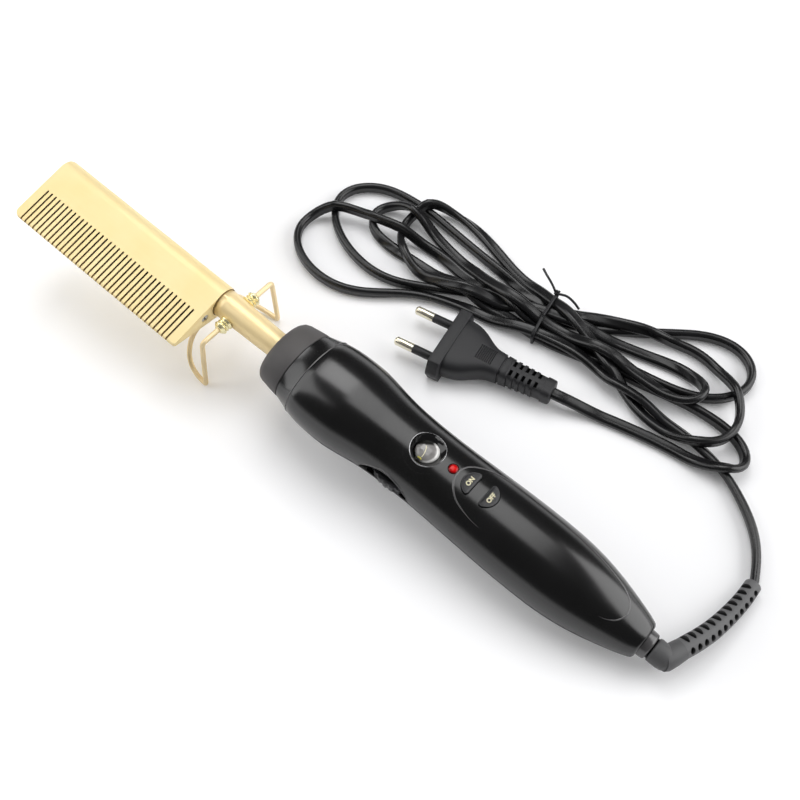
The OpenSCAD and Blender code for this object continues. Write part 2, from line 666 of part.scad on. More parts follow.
module dial_wheel() {
    z1 = wheel_z0 + wheel_t;
    lobes = 30;
    color(black) place_comb() translate([wheel_x, -wheel_side, 0]) difference() {
        translate([0, 0, wheel_z0]) cylinder(h = wheel_t, r = wheel_r);
        translate([0, 0, z1 - 0.5]) cylinder(h = 1, r = wheel_r - 2);
        translate([0, 0, wheel_z0 - 1]) cylinder(h = wheel_t + 2, r = 1.5 + seat);
        for (i = [0 : lobes - 1]) rotate([0, 0, i * 360 / lobes])
            translate([wheel_r + 0.35, 0, wheel_z0 - 1]) cylinder(h = wheel_t + 2, r = 0.85);
    }
}
module dial_face() {
    z1 = wheel_z0 + wheel_t;
    color(white) place_comb() translate([wheel_x, -wheel_side, z1 - 0.5]) difference() {
        cylinder(h = 0.5, r = wheel_r - 2 - seat);
        translate([0, 0, -1]) cylinder(h = 3, r = 1.6);
    }
}
module dial_shaft() {
    color(steel) place_comb() post(wheel_x, -wheel_side, board_top + 1, wheel_z0 + wheel_t + 0.4, 1.5);
}
module potentiometer() {
    color("#33506b") place_comb() difference() {
        union() {
            post(wheel_x, -wheel_side, board_top, wheel_z0 - gap, 5.5);
            block(wheel_x - 4, wheel_x + 4, -wheel_side - 6, -wheel_side, board_top, board_top + 1);
        }
        post(wheel_x, -wheel_side, board_top + 0.9, 5, 1.5 + 0.06);
    }
}
module power_board() {
    color(board_green) place_comb() difference() {
        block(board_x0, board_x1, -board_half, board_half, board_z, board_top);
        for (p = board_posts) post(p[0], p[1], board_z - 1, board_z + 3, 1.15);
    }
}
module board_parts() {
    x = board_x1 - 16;
    color("#54545a") place_comb() {
        block(x - 8, x + 2, -7, -2, board_top, board_top + 8);
        block(x - 7, x - 2.5, 2, 7, board_top, board_top + 6.5);
        block(x + 4, x + 10, 3.5, 6, board_top, board_top + 4);
        translate([x, 3.4, board_top + 1.1]) rotate([0, 90, 0]) cylinder(h = 3, r = 1.1);
    }
}
module board_screws() {
    color(steel) place_comb() for (p = board_posts)
        translate([p[0], p[1], 0]) mirror([0, 0, 1]) pan_screw(-board_top, 5, 0.88, 1.7, 1.2);
}
module mains_leads() {
    color("#4a3a2c") place_comb() for (s = [-1, 1])
        bent_wire([[board_x1 - 1.5, s * 6.5, board_top + 0.7], [board_x1 + 8, s * 6.5, board_top + 1.5],
                   [cave_end - 9, s * 4.6, 0], [cave_end - 4.2, s * 4.6, 0]], [0, 5, 4, 0], 0.7);
}

// ---------- swivel and strain relief ----------
module swivel_block() {
    color(charcoal) place_comb() difference() {
        block(cave_end - 4, cave_end - 2.1, -5.6, 5.6, -4.6, 4.6);
        along_x(cave_end - 5, cave_end, 1.6);
    }
    color(brass) place_comb() for (s = [-1, 1])
        block(cave_end - 2.1, cave_end + 0.3, s * 4.2 - 0.4, s * 4.2 + 0.4, -1.5, 1.5);
}
module slip_rings() {
    color(brass) place_comb() difference() {
        along_x(cave_end - 0.6, cave_end + 0.6, 3.6);
        along_x(cave_end - 1, cave_end + 2, 1.6);
    }
}
lip_r = 4.95;
elbow_r = 4.3;
elbow_bend = 5.2;
elbow_x = neck_end + 5.2;
// The boot's axis, from the elbow's corner to the cord
boot_path = [[elbow_x, 0, 0], [elbow_x + 4, 11, -1], [elbow_x + 8, 24, -3.2], [elbow_x + 11, 36, -4.9],
             [elbow_x + 11.4, 46.6, -5.7]];
module cord_elbow() {
    lead = boot_path[0] + 7 * unit(boot_path[1] - boot_path[0]);
    color(charcoal) place_comb() {
        along_x(cave_end + 0.6, neck_end + gap, shank_r);
        along_x(cave_end + 4.8, cave_end + 7.2, 4.4);
        along_x(neck_end + gap, neck_end + gap + 1.4, lip_r);
        bent_wire([[neck_end + gap + 0.5, 0, 0], [elbow_x, 0, 0], lead], [0, elbow_bend, 0], elbow_r);
    }
}
function path_len(p, i = 0) = i >= len(p) - 1 ? 0 : norm(p[i + 1] - p[i]) + path_len(p, i + 1);
function path_at(p, s, i = 0) =
    let (d = norm(p[i + 1] - p[i]))
    s <= d || i >= len(p) - 2 ? [p[i] + (p[i + 1] - p[i]) * (s / d), unit(p[i + 1] - p[i])]
                              : path_at(p, s - d, i + 1);
boot_start = 7;
boot_pitch = 2.85;
module strain_boot() {
    first = path_at(boot_path, boot_start)[0];
    color(charcoal) place_comb() {
        bent_wire(concat([first], [for (i = [1 : 4]) boot_path[i]]), [0, 20, 20, 20, 0], 2.6);
        rod(first, first + path_at(boot_path, boot_start)[1] * 2, 4.1);
        for (i = [0 : boot_ribs - 1]) {
            at = path_at(boot_path, boot_start + 2.6 + i * boot_pitch);
            rod(at[0], at[0] + at[1] * 1.5, 4.0 - 0.045 * i);
        }
    }
}

// ---------- cord, where it lies on the table ----------
cord_z = cord_t / 2;
tail_route = concat([on_table(boot_path[4])],
    [[227.9, 50, 3.2], [226.5, 56, 2.1], [222.5, 63, cord_z], [215, 70.5, cord_z],
     [205.5, 77, cord_z], [196, 82, cord_z], [187, 86.4, cord_z]]);
lead_route = [[118.7, 67.4, 6.85], [122.5, 68.1, 6.2], [129, 69.6, 4], [137, 71.8, 2.2], [147, 74.4, cord_z],
              [160, 77.4, cord_z], [173.5, 82.5, cord_z]];
module cord_tail() { color(cord_black) cord(tail_route, 3); }
module cord_lead() { color(cord_black) cord(lead_route, 3); }

hank_h = 9;
tie_at = [91, 97.5];
tie_turn = 11;                   // the bundle's direction at the tie, degrees
tie_half = 12.4;
tie_w = 1.6;
tie_t = 0.9;
// Outline of the folded cord, round its outermost runs
hank_line = [[88, 85], [60, 82.5], [38, 72], [20, 55], [0, 47.3], [-18, 51], [-31, 61], [-34, 73],
    [-29.5, 85], [-28.5, 99], [-22, 109], [-8, 114.8], [8, 116], [16, 119], [30, 124], [45, 121],
    [63, 114], [88, 110], [96, 110], [112, 114], [131, 125], [148, 139], [163, 143.8], [175, 139.5],
    [186, 116], [188.8, 103], [199.7, 94], [199, 86], [190, 81], [172, 82.5], [151, 82], [129, 83],
    [105, 85.5]];
module cord_hank() {
    color(cord_black) difference() {
        linear_extrude(hank_h) polygon(closed_curve(hank_line, 3));
        translate([tie_at[0], tie_at[1], 0]) rotate([0, 0, tie_turn]) difference() {
            block(-tie_w / 2 - 0.1, tie_w / 2 + 0.1, -20, 20, -1, hank_h + 1);
            block(-5, 5, -tie_half + 1, tie_half - 1, tie_t + 0.1, hank_h - tie_t - 0.1);
        }
    }
}
module cord_tie() {
    color("#2a2a2c") translate([tie_at[0], tie_at[1], 0]) rotate([0, 0, tie_turn]) {
        difference() {
            block(-tie_w / 2, tie_w / 2, -tie_half, tie_half, 0, hank_h);
            block(-5, 5, -tie_half + 1 - seat, tie_half - 1 + seat, tie_t, hank_h - tie_t);
        }
        bent_wire([[0, 8, hank_h - 0.3], [-2, 9.5, hank_h + 2.5], [-10, 13, hank_h + 5.5], [-15, 16, hank_h + 6]],
                  [0, 2, 6, 0], 0.6);
        bent_wire([[0, 8, hank_h - 0.3], [1.5, 9.5, hank_h + 2], [7, 11, hank_h + 4], [12, 10, hank_h + 2]],
                  [0, 1.6, 4, 0], 0.6);
    }
}

// ---------- plug ----------
plug_at = [66.5, 57.5];
plug_turn = 10.7;
neck_at = 27;
relief_len = 25;
module place_plug() {
    translate([plug_at[0], plug_at[1], flange_h / 2]) rotate([0, 0, plug_turn]) children();
}
function soft_ring(x, a, b, n) = [for (i = [0 : 23])
    let (g = 15 * i, c = cos(g), s = sin(g), k = pow(pow(abs(c), n) + pow(abs(s), n), -1 / n))
    [x, a * c * k, b * s * k]];
module plug_body() {
    h = flange_h / 2;
    w = flange_w / 2;
    color(cord_black) place_plug() difference() {
        union() {
            rotate([90, 0, 90]) linear_extrude(flange_t)
                polygon([[w - 2.4, h], [w, h * 0.35], [w, -h * 0.35], [w - 2.4, -h],
                         [2.4 - w, -h], [-w, -h * 0.35], [-w, h * 0.35], [2.4 - w, h]]);
            loft([for (row = [[flange_t - 0.5, w - 3.2, h - 0.7], [9, w - 3.6, h - 0.6], [13, w - 4.8, h - 0.7],
                              [17, w - 7.2, h - 0.9], [20.5, w - 9.6, h - 1.1], [23.5, w - 11, h - 1.3], [neck_at, w - 11.6, h - 1.5]])
                soft_ring(row[0], row[1], row[2], 4)]);
        }
        for (s = [-1, 1]) translate([0, s * pin_pitch / 2, 0]) along_x(-1, 12, pin_core_r);
    }
}
pin_core_r = 1.5;
sleeve_len = 10;
module plug_pins() {
    color("#e9e2c8") place_plug() for (s = [-1, 1]) translate([0, s * pin_pitch / 2, 0]) {
        along_x(-sleeve_len - 0.5, 12, pin_core_r - 0.02);
        along_x(-pin_len + 0.8, -sleeve_len, pin_r);
        along_x(-pin_len, -pin_len + 0.8, pin_r - 0.7, pin_r);
    }
}
module pin_sleeves() {
    color(cord_black) place_plug() for (s = [-1, 1]) translate([0, s * pin_pitch / 2, 0]) difference() {
        along_x(-sleeve_len + 0.02, 0, pin_r);
        along_x(-sleeve_len - 1, 1, pin_core_r);
    }
}
relief_ribs = 6;
module plug_relief() {
    color(cord_black) place_plug() {
        block(neck_at, neck_at + relief_len - 3, -4, 4, -3.4, 3.4);
        for (i = [0 : relief_ribs - 1]) {
            x = neck_at + 0.8 + i * 3.6;
            w = 6.2 - 0.15 * i;
            block(x, x + 2, -w, w, -4.6, 4.6);
        }
        block(neck_at + relief_len - 3.4, neck_at + relief_len, -5, 5, -4.4, 4.4);
    }
}

comb_head();
head_screw();
heater_rod();
heater_leads();
lead_sleeve();
neck_tube();
pivot_bosses();
stand_wire();
front_collar();
tube_clamp();
clamp_screws();
upper_shell();
lower_shell();
shell_screws();
window_ring();
window_lens();
led_lamp();
button_on();
button_off();
key_board();
key_switches();
key_board_screws();
dial_wheel();
dial_face();
dial_shaft();
potentiometer();
power_board();
board_parts();
board_screws();
mains_leads();
swivel_block();
cord_elbow();
slip_rings();
strain_boot();
cord_tail();
cord_hank();
cord_tie();
cord_lead();
plug_body();
plug_relief();
plug_pins();
pin_sleeves();
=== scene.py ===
from math import atan2, copysign, cos, hypot, pi, radians, sin, sqrt, tan
import bpy
import numpy as np
from mathutils import Matrix, Vector


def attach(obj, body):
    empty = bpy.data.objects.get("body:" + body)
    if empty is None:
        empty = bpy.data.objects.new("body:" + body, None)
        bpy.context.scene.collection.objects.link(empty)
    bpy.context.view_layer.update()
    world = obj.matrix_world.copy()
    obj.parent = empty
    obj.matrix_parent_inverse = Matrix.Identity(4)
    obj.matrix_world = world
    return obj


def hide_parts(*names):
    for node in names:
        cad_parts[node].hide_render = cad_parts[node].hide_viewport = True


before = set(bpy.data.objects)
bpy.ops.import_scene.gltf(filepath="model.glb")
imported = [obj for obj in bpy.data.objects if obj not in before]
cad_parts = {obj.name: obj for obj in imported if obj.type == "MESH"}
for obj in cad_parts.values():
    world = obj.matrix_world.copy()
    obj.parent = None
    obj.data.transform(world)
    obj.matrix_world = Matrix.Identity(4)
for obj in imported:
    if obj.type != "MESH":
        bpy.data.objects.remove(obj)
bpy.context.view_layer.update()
print("frame loaded:", len(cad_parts), "nodes")

mm = 0.001
comb = {"pivot": (0.002, 0, 0.0315), "pitch": 5.61348}   # the tool's own frame: X towards the tail
combFrame = Matrix.Translation(comb["pivot"]) @ Matrix.Rotation(radians(comb["pitch"]), 4, "Y")
tableFrame = Matrix.Identity(4)
combMm = combFrame @ Matrix.Scale(mm, 4)      # pieces are drawn in millimetres and settled with these
tableMm = Matrix.Scale(mm, 4)
alongX = Matrix.Rotation(radians(90), 4, "Y")

camera = {"place": (0.2298, -0.1639, 0.4119), "tilt": 31.2, "turn": 40.4, "lens": 50.76}
bpy.ops.object.camera_add(location=camera["place"],
                          rotation=(radians(camera["tilt"]), 0, radians(camera["turn"])))
eye = bpy.context.object
eye.data.lens = camera["lens"]
eye.data.sensor_width = 36
eye.data.clip_start = 0.01
bpy.context.scene.camera = eye
bpy.context.scene.view_settings.view_transform = "Standard"


class Signal:   # one value of a material, which sums and products can be written with
    def __init__(self, recipe, socket):
        self.recipe, self.socket = recipe, socket

    def math(self, operation, *others):
        return self.recipe.node("Math", {"operation": operation}, [self, *others])

    def __add__(self, other):
        return self.math("ADD", other)

    def __mul__(self, other):
        return self.math("MULTIPLY", other)

    def __sub__(self, other):
        return self.math("SUBTRACT", other)

    def __rsub__(self, other):
        return self.recipe.node("Math", {"operation": "SUBTRACT"}, [other, self])

    __radd__, __rmul__ = __add__, __mul__

    def within(self, low, high):   # 0 below low, 1 above high
        return self.recipe.node("MapRange", {"clamp": True}, [self, low, high])


class Recipe:   # the nodes of a material or of the studio round it
    def __init__(self, name, shelf="materials", place="Object"):
        self.made = getattr(bpy.data, shelf).new(name)
        self.made.use_nodes = True
        self.tree = self.made.node_tree
        self.shader = self.tree.nodes.get("Principled BSDF")
        self.place = self.node("TexCoord", output=place)

    def node(self, kind, settings=(), values=(), output=0):
        made = self.tree.nodes.new("ShaderNode" + kind)
        for key, value in dict(settings).items():
            setattr(made, key, value)
        for key, value in (values.items() if isinstance(values, dict) else enumerate(values)):
            self.feed(made.inputs[key], value)
        return Signal(self, made.outputs[output])

    def parts(self, kind, *values):   # every output of a node, by its name
        made = self.tree.nodes.new("ShaderNode" + kind)
        for socket, value in zip(made.inputs, values):
            self.feed(socket, value)
        return {out.name: Signal(self, out) for out in made.outputs}

    def feed(self, socket, value):
        if isinstance(value, Signal):
            self.tree.links.new(value.socket, socket)
        else:
            socket.default_value = value

    def noise(self, scale, detail=2, stretch=(1, 1, 1)):
        where = self.node("Mapping", values={"Vector": self.place, "Scale": stretch})
        return self.node("TexNoise", values={"Vector": where, "Scale": scale, "Detail": detail})

    def along(self):   # the tool's own X, Y and Z, in millimetres
        settle = [self.place, comb["pivot"], (0, radians(comb["pitch"]), 0), (mm, mm, mm)]
        return self.parts("SeparateXYZ", self.node("Mapping", {"vector_type": "TEXTURE"}, settle)).values()

    def around(self, spot):   # how far along the tool, across it and straight from a spot on it
        x, y, z = self.along()
        dx, dy = x - spot["at"], y - spot["side"]
        return dx, dy, (dx * dx + dy * dy).math("SQRT")

    def mix(self, amount, *pair):   # of two colours, each "#rrggbb" or a signal
        first, second = (tint(colour) if isinstance(colour, str) else colour for colour in pair)
        return self.node("Mix", {"data_type": "RGBA"}, {0: amount, 6: first, 7: second}, output=2)

    def bump(self, height, depth):
        return self.node("Bump", values={"Height": height, "Distance": depth, "Strength": 1.0})

    def done(self, **values):
        for key, value in values.items():
            self.feed(self.shader.inputs[key.replace("_", " ")], value)
        return self.made


def tint(code):   # "#rrggbb" to linear values
    parts = [int(code[i:i + 2], 16) / 255 for i in (1, 3, 5)]
    return (*[c / 12.92 if c <= 0.04045 else ((c + 0.055) / 1.055) ** 2.4 for c in parts], 1)


def mouldedPlastic(name, colour, worn, roughness, grain=2400, depth=0.00001, level=0.4, hollow=None):
    r = Recipe(name)
    cloud = r.noise(60, 3)
    fine = r.noise(grain, 2)
    flecks = r.noise(900, 4).within(0.62, 0.75)
    base = r.mix(cloud.within(0.35, 0.7) * 0.7 + flecks * 0.2, colour, worn)
    if hollow:   # painted shade: black in its cuts
        base = r.mix(r.node("Attribute", {"attribute_name": hollow}, output=2), base, "#0b0b0c")
    return r.done(Base_Color=base, Roughness=roughness + (cloud - 0.5) * 0.12 + flecks * 0.08,
                  Specular_IOR_Level=level, Normal=r.bump(fine, depth))


def pianoBlack(name, seam):   # polished black with the dark line where the two halves meet
    r = Recipe(name)
    x, y, z = r.along()
    away = (z - seam["rise"] - y * tan(radians(seam["roll"]))).math("ABSOLUTE")
    skin = away.within(seam["half"], 2.2 * seam["half"])   # 0 in the seam
    cloud = r.noise(60, 3)
    swirl = r.noise(700, 3, (0.3, 1, 1))
    dust = r.noise(2600, 2).within(0.7, 0.78)
    black = r.mix(cloud.within(0.35, 0.7) + dust * 0.4, "#070707", "#0e0e0f")
    return r.done(Base_Color=r.mix(skin, "#020202", black),
                  Roughness=0.21 + (cloud - 0.5) * 0.06 + dust * 0.1 + (1 - skin) * 0.3,
                  Specular_IOR_Level=0.7, Normal=r.bump(skin * 20 + swirl * 0.4, 0.00001))


def platedMetal(name, colour, deep, roughness, grain=1800, depth=0.000012, stretch=(1, 1, 1), metallic=1.0):
    r = Recipe(name)
    cloud = r.noise(45, 3)
    fine = r.noise(grain, 3, stretch)
    return r.done(Base_Color=r.mix(cloud.within(0.3, 0.75) * 0.6 + fine * 0.25, colour, deep),
                  Metallic=metallic, Normal=r.bump(fine, depth),
                  Roughness=roughness + (cloud - 0.5) * 0.1 + (fine - 0.5) * 0.08)


def combGold(name, slots):   # satin gold, with painted shade on the walls of the slots
    r = Recipe(name)
    x, y, z = r.along()
    face = r.node("NewGeometry", output="Normal")
    forward = tuple(combFrame.to_3x3() @ Vector((1, 0, 0)))
    facing = r.node("VectorMath", {"operation": "DOT_PRODUCT"}, [face, forward], output=1)
    slotShade = (facing.math("ABSOLUTE").within(0.6, 0.8) * x.within(slots["from"], slots["from"] + 0.2)
            * (1 - x.within(slots["to"], slots["to"] + 0.2))
            * (1 - y.within(slots["below"], slots["below"] + 0.4)))
    cloud = r.noise(45, 3)
    fine = r.noise(5200, 3)
    brushed = r.noise(900, 3, (0.06, 1, 1))
    gold = r.mix(cloud.within(0.3, 0.75) * 0.6 + fine * 0.2 + brushed * 0.15, "#ffedb8", "#fbe09c")
    shade = r.mix(y.within(*slots["shade"]), "#8a6a30", "#33200a")   # painted shade, darker towards the roots
    return r.done(Base_Color=r.mix(slotShade * 0.92, gold, shade), Metallic=0.22 + slotShade * 0.3,
                  Roughness=0.48 + (cloud - 0.5) * 0.1 + (brushed - 0.5) * 0.08,
                  Normal=r.bump(fine + brushed, 0.000006))


def lampRed(name, dome):   # painted highlight paler at the heart, painted shade deep red at the rim
    r = Recipe(name)
    out, half = r.around(dome)[2], dome["half"]
    cloud = r.noise(500, 2)
    red = r.mix(out.within(0.1 * half, 0.6 * half), "#e0140f", "#c80508")
    return r.done(Base_Color=r.mix(out.within(0.55 * half, half), red, "#520206"),
                  Roughness=0.12 + cloud * 0.05, Specular_IOR_Level=0.3, Normal=r.bump(cloud, 0.000002))


def dialPrint(name, dial):   # pale face with ticks round it, black outside it
    r = Recipe(name)
    dx, dy, out = r.around(dial)
    turn = dy.math("ARCTAN2", dx) * (dial["ticks"] / (2 * pi))
    tick = 1 - (turn.math("FRACT") - 0.5).math("ABSOLUTE").within(0.05, 0.09)
    grain = r.noise(700, 2)
    pale = r.mix(grain, "#ece8df", "#ddd7ca")
    face = r.mix(tick * out.within(5.8, 5.9), pale, "#2a2a2a")
    edge = out.within(dial["face"], dial["face"] + 0.1)
    return r.done(Base_Color=r.mix(edge, face, "#121213"), Roughness=0.42 + grain * 0.08,
                  Normal=r.bump(grain, 0.000004))


def clearLens(name, lens):   # the pale dial seen through it, with a painted shadow cast by the bowl's side on the far side and a painted highlight at the near rim
    r = Recipe(name)
    dx, dy, out = r.around(lens)
    far = dy * lens["far"][1] - dx * lens["far"][0]
    half = lens["half"]
    cloud = r.noise(160, 2)
    shade = (far + (cloud - 0.5) * 1.2).within(0.42 * half, 0.62 * half)
    highlightCrescent = out.within(0.82 * half, 0.94 * half) * dx.within(0, 2)
    pale = r.mix(cloud.within(0.35, 0.65), "#757372", "#8f8d8b")
    return r.done(Base_Color=r.mix(highlightCrescent, r.mix(shade, pale, "#1b1b19"), "#f4f3f0"),
                  Roughness=0.08 + cloud * 0.03, Specular_IOR_Level=0.6, Normal=r.bump(cloud, 0.00001))


finishes = {
    "gold": combGold("satinGold", {"from": -100.5, "to": -10.5, "below": -12.3, "shade": (-28, -14)}),
    "tube": platedMetal("tubeGold", "#ffe8b4", "#f9dc9c", 0.36, 3000, 0.000005, (0.1, 1, 1), 0.22),
    "wire": platedMetal("wireGold", "#fde6b8", "#f2d8a0", 0.38, 2600, 0.000008, (1, 1, 1), 0.25),
    "brass": platedMetal("polishedGold", "#fff6c8", "#f0e0a4", 0.26, 2600, 0.000006, (1, 1, 1), 0.75),
    "collar": mouldedPlastic("mattCollar", "#4b4949", "#595655", 0.52, 4200, 0.00003),
    "shell": pianoBlack("pianoBlack", {"rise": 2, "roll": 13, "half": 0.1}),
    # lighter than the shell's black: a painted highlight on the lips and the tail's neck
    "rim": mouldedPlastic("rimHighlightGrey", "#414041", "#5f5d5e", 0.22, 1200, 0.000004, 0.8),
    "screws": platedMetal("zincScrews", "#b8bbc0", "#8f9398", 0.35),
    "ring": platedMetal("brightRing", "#a9a9aa", "#8f8f91", 0.26, 2000, 0.000003),
    "keys": mouldedPlastic("keyBlack", "#19191b", "#242427", 0.26, 2600, 0.000008),
    "board": mouldedPlastic("boardGreen", "#2f6b45", "#245638", 0.4),
    "steel": platedMetal("switchSteel", "#aeb2b7", "#8d9196", 0.38),
    "wheel": mouldedPlastic("wheelBlack", "#2e2e30", "#3e3e41", 0.34, 3000, 0.000015),
    "dial": dialPrint("dialPrint", {"at": 95.2, "side": -2.5, "face": 8.2, "ticks": 24}),
    "pot": mouldedPlastic("controlBlue", "#33506b", "#294258", 0.4),
    "ceramic": mouldedPlastic("ceramicWhite", "#ece8df", "#d8d2c4", 0.55),
    "leads": mouldedPlastic("leadBrown", "#4a3a2c", "#5a4736", 0.5),
    "swivel": mouldedPlastic("elbowGrey", "#2d2d2f", "#39393b", 0.5, 4200, 0.00003),
    "cord": mouldedPlastic("cordBlack", "#121213", "#1b1b1d", 0.27, 1800, 0.00001, 0.5),
    "tie": mouldedPlastic("tieBlack", "#18181a", "#242426", 0.45, 1500, 0.00002),
    "plug": mouldedPlastic("plugBlack", "#222224", "#2c2c2e", 0.48, 4200, 0.00003),
    "pins": platedMetal("pinMetal", "#f6f1dd", "#ddd5bd", 0.22, 2600, 0.000004, (1, 0.1, 1), 0.85),
    "lamp": lampRed("lampRed", {"at": 113.9, "side": 0, "half": 2.0}),
    "bowl": mouldedPlastic("bowlBlack", "#0c0c0d", "#161617", 0.1, 900, 0.000003, 0.6),
    "lens": clearLens("lensGrey", {"at": 101.0, "side": -0.6, "half": 4.75, "far": (0.607, 0.795)}),
    "mark": mouldedPlastic("markYellow", "#b9b24a", "#cfc96a", 0.4),
    "letters": mouldedPlastic("letterCream", "#f2ebc8", "#e2d9b0", 0.5, 2600, 0.000004),
    # painted shade for the gap where the tube enters the comb
    "gapShade": mouldedPlastic("jointShade", "#4a3718", "#6b5226", 0.6),
    "elbow": mouldedPlastic("elbowMatt", "#4e4e4f", "#5c5c5d", 0.5, 4200, 0.00002),
    "boot": mouldedPlastic("bootMatt", "#5c5c5d", "#6a6a6b", 0.5, 4200, 0.00002, 0.4, "deep"),
}

nodeFinish = {   # of the CAD parts that stay as they are
    "screws": ("head_screw", "clamp_screws", "shell_screws", "key_board_screws", "board_screws"),
    "steel": ("tube_clamp", "key_switches", "dial_shaft"),
    "ceramic": ("heater_rod", "heater_leads", "lead_sleeve"),
    "board": ("key_board", "power_board"), "pot": ("potentiometer", "board_parts"), "dial": ("dial_face",),
    "brass": ("slip_rings",), "leads": ("mains_leads",), "swivel": ("swivel_block",),
}
for finish, names in nodeFinish.items():
    for name in names:
        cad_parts[name].data.materials.clear()
        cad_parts[name].data.materials.append(finishes[finish])
print("finishes made:", len(finishes))


def begin(name, add, **size):   # a primitive on its own
    bpy.ops.object.select_all(action="DESELECT")
    add(**size)
    shape = bpy.context.object
    shape.name = shape.data.name = name
    return shape


def alone(shape):   # selected by itself, and active
    bpy.ops.object.select_all(action="DESELECT")
    shape.select_set(True)
    bpy.context.view_layer.objects.active = shape


def added(shape):
    bpy.context.collection.objects.link(shape)
    alone(shape)
    return shape


def enter(mode, choose=None):
    bpy.ops.object.mode_set(mode=mode)
    if choose:
        bpy.ops.mesh.select_all(action=choose)


def modify(shape, kind, **settings):
    bpy.context.view_layer.objects.active = shape
    change = shape.modifiers.new(kind.lower(), kind)
    for key, value in settings.items():
        setattr(change, key, value)
    bpy.ops.object.modifier_apply(modifier=change.name)


def settlePlace(shape, place):   # its place goes into its mesh
    alone(shape)
    shape.matrix_world = place @ shape.matrix_world
    bpy.ops.object.transform_apply(location=True, rotation=True, scale=True)


def deliver(shape, body, finish, nodes=(), place=combFrame, crease=35):
    settlePlace(shape, place)
    if crease:
        bpy.ops.object.shade_smooth_by_angle(angle=radians(crease))
    shape.data.materials.clear()
    shape.data.materials.append(finishes[finish])
    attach(shape, body)
    if nodes:
        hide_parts(*nodes)
    return shape


def curve(name, path, closed=False, **settings):
    data = bpy.data.curves.new(name, "CURVE")
    for key, value in settings.items():
        setattr(data, key, value)
    line = data.splines.new("POLY")
    line.points.add(len(path) - 1)
    line.use_cyclic_u = closed
    for point, spot in zip(line.points, path):
        point.co = (*spot, 1)
    return data


def solid(data, radii=None, tilts=None):   # a curve with its section, made a mesh
    points = data.splines[0].points
    for point, radius, tilt in zip(points, radii or [1] * len(points), tilts or [0] * len(points)):
        point.radius, point.tilt = radius, tilt
    added(bpy.data.objects.new(data.name, data))
    bpy.ops.object.convert(target="MESH")
    return bpy.context.object


def sweep(name, path, radius, sides=24, radii=None, closed=False):   # round bar along a path
    data = curve(name, path, closed, dimensions="3D", bevel_depth=radius, bevel_resolution=sides // 2 - 2,
                 use_fill_caps=True)
    return solid(data, radii)


def smoothLine(points, steps):   # passes through each point
    p = np.array(points, float)
    out = []
    for i in range(len(p) - 1):
        a, b, c, d = p[max(i - 1, 0)], p[i], p[i + 1], p[min(i + 2, len(p) - 1)]
        for u in np.arange(steps) / steps:
            out.append(0.5 * (2 * b + (c - a) * u + (2 * a - 5 * b + 4 * c - d) * u ** 2
                              + (3 * b - a - 3 * c + d) * u ** 3))
    return np.array(out + [p[-1]])


def smoothPath(points, steps):
    return smoothLine([(*q, 0) for q in points], steps)[:, :3]


